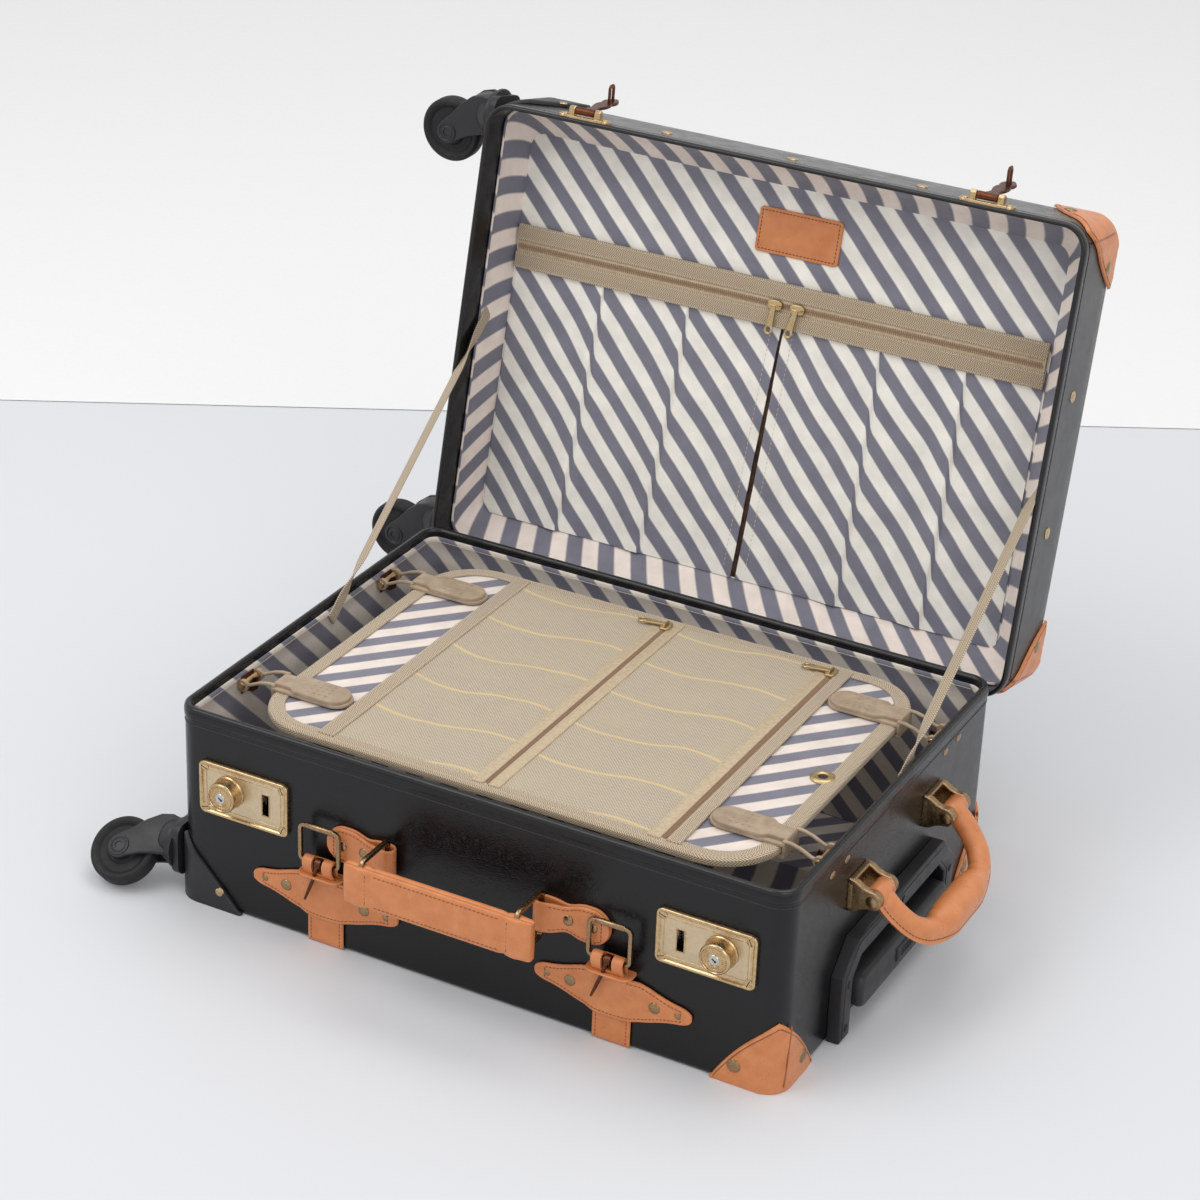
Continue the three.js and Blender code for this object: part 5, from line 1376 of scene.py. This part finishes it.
def front_handle():
    xs = [38.0 + 14.0 * math.sin(a) for a in np.linspace(math.pi / 2, 0, 12)]
    xs += list(np.linspace(36.0, 0.5, 30))
    path = [(x, 4.0 + tab_rise(x)) for x in xs]
    path += arc(0, LOOP_OUT, 4.95, math.pi / 2, 3 * math.pi / 2, 15)
    path += [(x, 1.45) for x in reversed(xs)]
    half = [tab_half(x) for x in xs] + [12.0] * 16 + [tab_half(x) + 0.3 for x in reversed(xs)]
    tab = plain_leaf(path, half, 2.3, 0.8, 17)
    out = np.linspace(7.0, 46.0, 40)
    edge = [(x, s * (tab_half(x) - 2.6), 5.25 + tab_rise(x))
            for s, run in ((1, out), (-1, out[::-1])) for x in run]
    tab_seam = stitches(edge, OUT, 3.1, 2.3, 0.75)
    ring = [(0.0, y, LOOP_OUT + 17.5 + x) for x, y in rounded_ring(17.5, 18.0, 4.0, 5, 5, 5)]
    loop = sweep(ring, rounded_ring(1.7, 1.7, 0.7, 3, 1, 1), closed=True, up=(1, 0, 0))
    rivets = domes(4.2, 1.7, [(x, 0, 4.9 + tab_rise(x)) for x in (20.0, 39.0)])
    for side, label in SIDES:
        at = FRONT @ shift(side * LOOP_X, HANDLE_Z, HALF_Y) @ (FLAT if side > 0 else MIRROR_X)
        add = maker(f"tab_{label}", at, "base")
        add("", tab, TAN, f"handle_tab_{label}", 60)
        add("_thread", tab_seam, TAN_THREAD)
        add("_rivets", rivets, DARK_BRASS)
        piece(f"loop_{label}", moved(loop, at), DARK_BRASS, f"loop_{label}", f"handle_loop_{label}")
    rings = []
    for x in (-75.0, -74.6, -73.4, -71.6, *np.linspace(-69.5, 69.5, 72), 71.6, 73.4, 74.6, 75.0):
        d = 75.0 - abs(x)
        end = math.sqrt(max(0.02, 1 - (1 - min(d / 3.6, 1)) ** 2))
        wide = 4.2 + 1.35 * bell(abs(x), LOOP_X, 4.5) - 0.9 * bell(abs(x), 53.5, 1.6)
        wide *= 0.45 + 0.55 * end
        tall = 15.5 - 1.0 * (1 - end) - 0.5 * bell(abs(x), 53.5, 2.0)
        ring = []
        for a, b in rounded_ring(1.0, 1.0, 0.28, 5, 8, 12):
            notch = 0.75 * bell(a, 0, 0.12) * (abs(b) > 0.9)
            ring.append((x, b * (tall - notch), wide * a * (1 + 0.10 * (1 - b * b))))
        rings.append(np.array(ring))
    at = FRONT @ shift(0, HANDLE_Z, HALF_Y + LOOP_OUT + 35.0)
    add = maker("front_handle_", at, "handle")
    add("band", loft(rings), TAN, "front_handle", 50)
    seams = []
    for s in (-1, 1):
        y, x = s * 12.4, s * 56.6
        for ends, way in (([(-50.0, y, 4.35), (50.0, y, 4.35)], OUT),
                          ([(-50.0, y, -4.35), (50.0, y, -4.35)], IN),
                          ([(x, -12.4, 4.6), (x, 12.4, 4.6)], OUT)):
            seams.append(stitches(ends, way, 3.4, 2.5, 0.8))
    add("thread", merged(seams), TAN_THREAD)


def straps():
    xs = np.sin(np.linspace(-math.pi / 2, math.pi / 2, 60)) * 61.5
    half = np.interp(
        np.abs(xs), [0, 5, 10, 15, 20, 25, 30, 36, 42, 48, 53, 56, 58.5, 60.3, 61.2, 61.5],
        [18, 17.9, 17.6, 17.0, 16.2, 15.0, 13.4, 11.2, 9.3, 7.9, 7.1, 6.3, 5.2, 3.8, 2.3, 1.2])

    def lift(x):
        return 1.6 + 2.3 * (1 - smooth((abs(x) - 13.0) / 9.0))

    def rise(y):
        return smooth((y - 50.0) / 23.0)

    def seam(*ends):
        return stitches(ends, OUT, 3.0, 2.2, 0.75)
    blade = put(plain_leaf([(x, lift(x)) for x in xs], half, 2.4, 0.8, 21), 0, STRAP_Y, 0)
    outline = [(x, STRAP_Y + s * max(h - 2.9, 0.2), lift(x) + 1.25)
               for s in (1, -1) for x, h in list(zip(xs, half))[::s] if abs(x) < 54]
    stub = plain_leaf([(y, 1.35) for y in np.linspace(0.6, 44.0, 20)], 15.0, 2.1, 0.8, 15)
    path = [(y, 1.5 + 4.1 * rise(y)) for y in np.linspace(40.0, 72.0, 16)]
    path += [(73.0 + 3.8 * math.sin(a), 9.4 - 3.8 * math.cos(a))
             for a in np.linspace(0, math.pi, 14)]
    path += [(y, 3.4 + 9.8 * rise(y)) for y in np.linspace(72.0, 48.0, 14)]
    tail = moved(plain_leaf(path, 12.5, 2.2, 0.8, 13), ENDWAYS)
    keeper = sweep([(x, 62.5, 5.6 + z) for x, z in rounded_ring(14.2, 5.2, 3.0, 5, 6, 3)],
                   strip_section(8.0, 1.6), closed=True, up=(0, 1, 0))
    seams = merged([stitches(outline, OUT, 3.0, 2.2, 0.75, True),
                    seam((-12.0, 2.0, 2.4), (-12.0, 24.0, 2.4)),
                    seam((12.0, 2.0, 2.4), (12.0, 24.0, 2.4)),
                    stitches([(-9.0, 62.5, 11.7), (9.0, 62.5, 11.7)], OUT, 3.0, 2.2, 0.7)])
    rivets = merged([domes(2.5, 1.2, [(s * 51.0, STRAP_Y, 2.6) for s in (-1, 1)], 14),
                     domes(4.4, 1.7, [(s * 33.0, STRAP_Y, 2.6) for s in (-1, 1)])])
    buckle = sweep([(x, 87.5 + y, 0.0) for x, y in rounded_ring(16.0, 14.5, 3.6, 5, 5, 5)],
                   rounded_ring(1.45, 1.6, 0.6, 3, 1, 1), closed=True, up=OUT)
    buckle = merged([buckle, put(roller(2.2, 11.5, 0.3, 0.5, 18), 0, 102.0, 0, RIGHT)])
    pin_ring = hoop([np.array([(x, a, b) for a, b in around(r, 20)])
                     for x, r in ((-2.2, 2.6), (-2.2, 4.1), (2.2, 4.1), (2.2, 2.6))])
    hook = [(0, 0, 3.0), (-1.0, -3.0, 3.4), (-4.0, -12.0, 1.6),
            (-8.6, -23.0, 0.2), (-12.6, -33.4, 0.3)]
    tongue = merged([pin_ring, tube(hook, 1.35, 10, scale=[1.2, 1.15, 1.05, 1.0, 0.7])])
    for side, label in SIDES:
        at = FRONT @ shift(side * STRAP_X, 0, HALF_Y)
        node, out = f"strap_{label}", at @ shift(0, 0, 9.4)
        add = maker(node + "_", at, "base")
        slot = moved(block(-4.3, 4.3, 66.5, 82.0, 6.6, 16.0), at)
        cut(add("tail", tail, TAN, node, 60), [slot], 60)
        add("leaf", blade, TAN, node, 60)
        add("stub", moved(stub, ENDWAYS), TAN, node, 60)
        add("keeper", keeper, TAN, sharp=60)
        add("thread", seams, TAN_THREAD)
        add("rivets", rivets, DARK_BRASS)
        piece(f"buckle_{label}_frame", moved(buckle, out), DARK_BRASS, f"buckle_{label}",
              f"buckle_frame_{label}")
        piece(f"buckle_{label}_tongue", moved(tongue, out @ shift(0, 73.0, 0)), COPPER,
              f"tongue_{label}", f"buckle_tongue_{label}")


# Handle side

def carry_handle():
    side = [(SEAT, -13.0), (6.0, -11.8), (11.0, -8.6), (15.0, -7.3)]
    profile = side + arc(PIVOT_OUT, 0, 7.0, -math.pi / 2, math.pi / 2, 14)
    profile += [(x, -z) for x, z in reversed(side)]
    cap = lathe([(0, 0), (4.2, 0), (4.2, 0.5), (3.4, 1.0), (0, 1.2)], 20)
    cap = put(cap, PIVOT_OUT, -15.4, 0, FRONT)
    face = plate(rounded_ring(15.5, 13.0, 3.5, 5, 4, 4), 4.0, 1.2, z0=SEAT)
    bracket = merged([moved(face, RIGHT),
                      *(put(plate(profile, 5.4, 1.1), 0, y, 0, FRONT) for y in (-10.05, 15.45)),
                      cap, moved(cap, MIRROR_Y),
                      put(disc(2.4, -10.2, 10.2, 16), PIVOT_OUT, 0, 0, FRONT)])
    for sy, label in ((-1, "front"), (1, "back")):
        piece(f"bracket_{label}", put(bracket, HALF_X, sy * PIVOT_Y, PIVOT_Z), DARK_BRASS, "base",
              f"side_bracket_{label}")
    nodes = [(0.0, PIVOT_Y), (15.98, PIVOT_Y), (34.78, 0.88 * PIVOT_Y), (45.59, 0.58 * PIVOT_Y)]
    nodes = [(-6.0, PIVOT_Y), *nodes, (47.0, 0.0), *((x, -y) for x, y in reversed(nodes)),
             (-6.0, -PIVOT_Y)]
    path = []
    for p0, p1, p2, p3 in zip(*(np.array(nodes[k:len(nodes) - 3 + k]) for k in range(4))):
        for t in np.linspace(0, 1, 10, endpoint=False):
            path.append(0.5 * (2 * p1 + (p2 - p0) * t + (2 * p0 - 5 * p1 + 4 * p2 - p3) * t * t
                               + (3 * p1 - p0 - 3 * p2 + p3) * t ** 3))
    path = np.array(path + [nodes[-2]])
    t = unit(np.gradient(path, axis=0))
    outward = np.column_stack([-t[:, 1], t[:, 0]])
    outward *= np.sign(outward[len(path) // 2, 0])
    rings, welt = [], []
    for i, (p, n) in enumerate(zip(path, outward)):
        y = abs(p[1])
        grip = smooth((44.0 - y) / 26.0)
        end = smooth(min(i, len(path) - 1 - i) / 5.0)
        radius = 8.3 + 3.7 * grip
        folds = 1.5 * (bell(y, 39, 2.6) + 0.7 * bell(y, 47, 2.6))
        ring = []
        for a in np.arange(28) * 2 * math.pi / 28:
            flange = 3.0 * end * bell(min(a, 2 * math.pi - a), 0, 0.16) * (1 - 0.35 * grip)
            r = radius * (1 + 0.04 * math.cos(2 * a)) + flange - folds * max(0.0, -math.cos(a))
            ring.append((*(p + n * r * math.cos(a)), r * math.sin(a) * (0.75 + 0.25 * end)))
        rings.append(np.array(ring))
        if 4 <= i <= len(path) - 5:
            welt.append((*(p + n * (radius + 1.0)), 2.0))
    sleeve = [(3.0, -9.3), (7.2, -9.3), (7.9, -8.6), (7.9, 8.6), (7.2, 9.3), (3.0, 9.3)]
    sleeve = hoop([np.array([(a, z, b) for a, b in around(r, 24)]) for r, z in sleeve])
    grip = merged([loft(rings), put(sleeve, 0, -PIVOT_Y, 0), put(sleeve, 0, PIVOT_Y, 0)])
    at = shift(HALF_X + PIVOT_OUT, 0, PIVOT_Z) @ turn("Y", GRIP_LEAN)
    add = maker("side_handle_", at, "carry_handle")
    add("grip", grip, TAN, "side_handle", 60)
    seams = [stitches([(x, y, s * z) for x, y, z in welt], (0, 0, s), 3.2, 2.4, 0.75)
             for s in (1, -1)]
    add("thread", merged(seams), TAN_THREAD)
    oval = moved(dome(3.4, 0.9, 16), np.diag([1.25, 0.8, 1.0, 1.0]))
    ovals = [moved(put(oval, y, 143.0, HALF_X), RIGHT) for y in (-86.0, -110.0, 86.0, 110.0)]
    piece("side_wall_rivets", merged(ovals), DARK_BRASS, "base")


def trolley():
    half, leg, tall, chamfer = HALF_Y * 0.5568, 17.0, 76.0, 22.0
    inner, top = half - leg, tall - leg
    cut_in = chamfer - (2 - math.sqrt(2)) * leg
    arch = [(half, SEAT), (half, tall - chamfer), (half - chamfer, tall),
            (chamfer - half, tall), (-half, tall - chamfer), (-half, SEAT),
            (-inner, SEAT), (-inner, top - cut_in), (cut_in - inner, top),
            (inner - cut_in, top), (inner, top - cut_in), (inner, SEAT)]
    wall = RIGHT @ shift(0, 0, HALF_X)
    add = maker("bezel_", wall, "base")
    ridge = plate(offset_outline(arch, 3.2), 0.7, 0.5, z0=10.2)
    add("arch", merged([plate(arch, 10.0, 1.8, 4, z0=SEAT), ridge]), PLASTIC, "trolley_bezel")
    spots = [(s * (half - 8.5), z) for s in (-1, 1) for z in (10.0, 46.0)] + [(0.0, tall - 8.5)]
    heads = [put(screw(3.0, 0)[0], y, z, 10.8) for y, z in spots]
    add("screws", merged(heads), STEEL_DARK)
    steps = [(0.0, 0.6), (0.0, 11.8), (-0.6, 13.6), (-1.8, 15.0), (-3.6, 15.6)]
    grip = loft(stepped(inner - 4.0, 14.0, 9.0, steps, nx=10, share=0.8))
    at = wall @ shift(0, GRIP_Z, 0)
    made = piece("trolley_grip_bar", moved(grip, at), PLASTIC, "trolley", "trolley_grip")
    cut(made, [moved(block(-17.3, 17.3, -5.8, 5.8, 5.0, 20.0), at)], 38)
    section = rounded_ring(8.2, 5.2, 1.4, 4, 2, 2)
    rods = [loft([np.array([(x, sy * ROD_Y + a, ROD_Z + b) for a, b in section])
                  for x in np.linspace(-203.0, 246.5, 12)]) for sy in (-1, 1)]
    piece("trolley_rods", merged(rods), STEEL, "trolley", "trolley_grip")
    ribs = [box(x - 0.6, x + 0.6, -3.8, 3.8, 16.8, 17.45, 0.3) for x in np.arange(-9, 10, 3.0)]
    button = merged([box(-17.0, 17.0, -5.5, 5.5, 9.6, 17.0, 1.2), *ribs])
    piece("trolley_button_cap", moved(button, at), PLASTIC, "trolley_release", "trolley_button")


# Stays, rivets on the lid, and the solids that stay as they are

def stays():
    for side, label in SIDES:
        start, end = np.array((side * 236.9, 24.0, 151.0)), np.array((side * 243.4, 255.4, 311.2))
        length = np.linalg.norm(end - start)
        along = (end - start) / length
        across = unit(np.cross((1, 0, 0), along))
        face = np.cross(along, across)
        path = [(s, 0.0) for s in np.linspace(0, length, 90)]
        points, *rest = leaf(path, 6.0, 1.2, 0.5, 9, ends=False)
        x, y, z = points.T
        twist = math.radians(STAY_TWIST) * smooth((x - 8.0) / 45.0)
        twist *= smooth((length - 8.0 - x) / 45.0)
        points = np.column_stack([x, y * np.cos(twist) - z * np.sin(twist),
                                  y * np.sin(twist) + z * np.cos(twist)])
        ribbon = moved((points, *rest), basis(along, across, face, start))
        ribbon = piece(f"stay_{label}_webbing", ribbon, WEBBING, "", f"stay_{label}")
        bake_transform(ribbon)
        patch = leaf([(s, 0.0) for s in np.linspace(-1.0, 9.0, 8)], 6.3, 1.6, 0.5, 9)
        for body, spot, way in (("base", start, -1), ("lid", end, 1)):
            at = basis(along * way, across * way, face, spot)
            piece(f"stay_{label}_{body}_end", moved(patch, at), WEBBING, body)


def shell_trim():
    add = maker("lid_", LID, "lid")
    front = domes(4.6, 1.3, [(x, 30.0, HALF_Y + LID_GROW) for x in (-107.0, 0.0, 107.0)])
    add("front_rivets", moved(front, FRONT), BRASS, slot="dark_brass")
    side = domes(4.6, 1.5, [(y, 34.0, HALF_X + LID_GROW) for y in (-51.0, 54.0)])
    add("side_rivets", moved(side, RIGHT), BRASS, slot="dark_brass")
    for node, material in (("trolley_tubes", STEEL), ("hinge_base_leaf", DARK_BRASS),
                           ("hinge_lid_leaf", DARK_BRASS)):
        kept = frame["nodes"][node]
        for made in [kept, *kept.children_recursive]:
            if made.type == "MESH":
                for spot in made.material_slots:
                    spot.material = material


# Stage

def linked(name, data):
    made = bpy.data.objects.new(name, data)
    bpy.context.scene.collection.objects.link(made)
    return made


def ground(name, corners, finish, size, detail, depth):
    finish.bumps((size, detail, depth))
    mesh = bpy.data.meshes.new(name)
    mesh.from_pydata([tuple(c) for c in corners], [], [(0, 1, 2, 3)])
    mesh.materials.append(finish.material)
    linked(name, mesh)


def stage():
    """The camera, the floor, and a plain backdrop that lies flat beyond the horizon line."""
    level = math.cos(ELEVATION)
    back = Vector((math.sin(AZIMUTH) * level, -math.cos(AZIMUTH) * level, math.sin(ELEVATION)))
    right = Vector((math.cos(AZIMUTH), math.sin(AZIMUTH), 0))
    up = back.cross(right)
    right, up = (right * math.cos(ROLL) + up * math.sin(ROLL),
                 up * math.cos(ROLL) - right * math.sin(ROLL))
    focal = LENS / SENSOR * FRAME_PX
    ray = -back + up * ((FRAME_PX / 2 - HORIZON_PX) / focal)
    foot = Vector(CAMERA_AT) + ray * (-CAMERA_AT[2] / ray.z) + Vector((0, 0, WALL_LIFT))
    away = Vector((-math.sin(AZIMUTH + ROLL), math.cos(AZIMUTH + ROLL), 0)) * WALL_REACH
    side = Vector((away.y, -away.x, 0))
    r = FLOOR_REACH
    ground("floor", [(-r, -r, 0), (r, -r, 0), (r, r, 0), (-r, r, 0)],
           Finish("floor", FLOOR_COLOUR, 0.6, specular=0.2), 4.0, 2.0, 0.02)
    ground("backdrop", [foot - side, foot + side, foot + side + away, foot - side + away],
           Finish("wall", WALL_COLOUR, 0.9, specular=0.1), 9.0, 4.0, 0.6)
    data = bpy.data.cameras.new("camera")
    data.lens, data.sensor_width = LENS, SENSOR
    data.clip_start, data.clip_end = 0.05, 50
    camera = linked("camera", data)
    camera.matrix_world = Matrix((*zip(right, up, back, CAMERA_AT), (0, 0, 0, 1)))
    bpy.context.scene.camera = camera


def lamp(name, at, target, size, power):
    data = bpy.data.lights.new(name, "AREA")
    data.shape, data.size, data.size_y, data.energy = "RECTANGLE", *size, power
    made = linked(name, data)
    made.location = at
    made.rotation_mode = "QUATERNION"
    made.rotation_quaternion = (Vector(target) - Vector(at)).to_track_quat("-Z", "Y")


def light():
    world = bpy.data.worlds.new("world")
    bpy.context.scene.world = world
    world.use_nodes = True
    colour, strength = world.node_tree.nodes["Background"].inputs[:2]
    colour.default_value, strength.default_value = (1.0, 1.0, 1.0, 1), WORLD_STRENGTH
    lamp("key", (-1.3, -1.3, 2.6), (0, 0, 0.1), (1.8, 1.8), 24)
    lamp("fill", (2.2, -1.6, 1.9), (0, 0, 0.1), (1.6, 1.6), 13)
    lamp("top", (0.3, 0.7, 2.8), (0, 0.1, 0.1), (2.2, 1.6), 20)
    bpy.context.scene.view_settings.view_transform = "Standard"


for make in (shells, corner_caps, casters, base_lining, lid_lining, lid_pocket, divider, clips,
             locks, hasps, front_handle, straps, carry_handle, trolley, stays, shell_trim,
             stage, light):
    make()
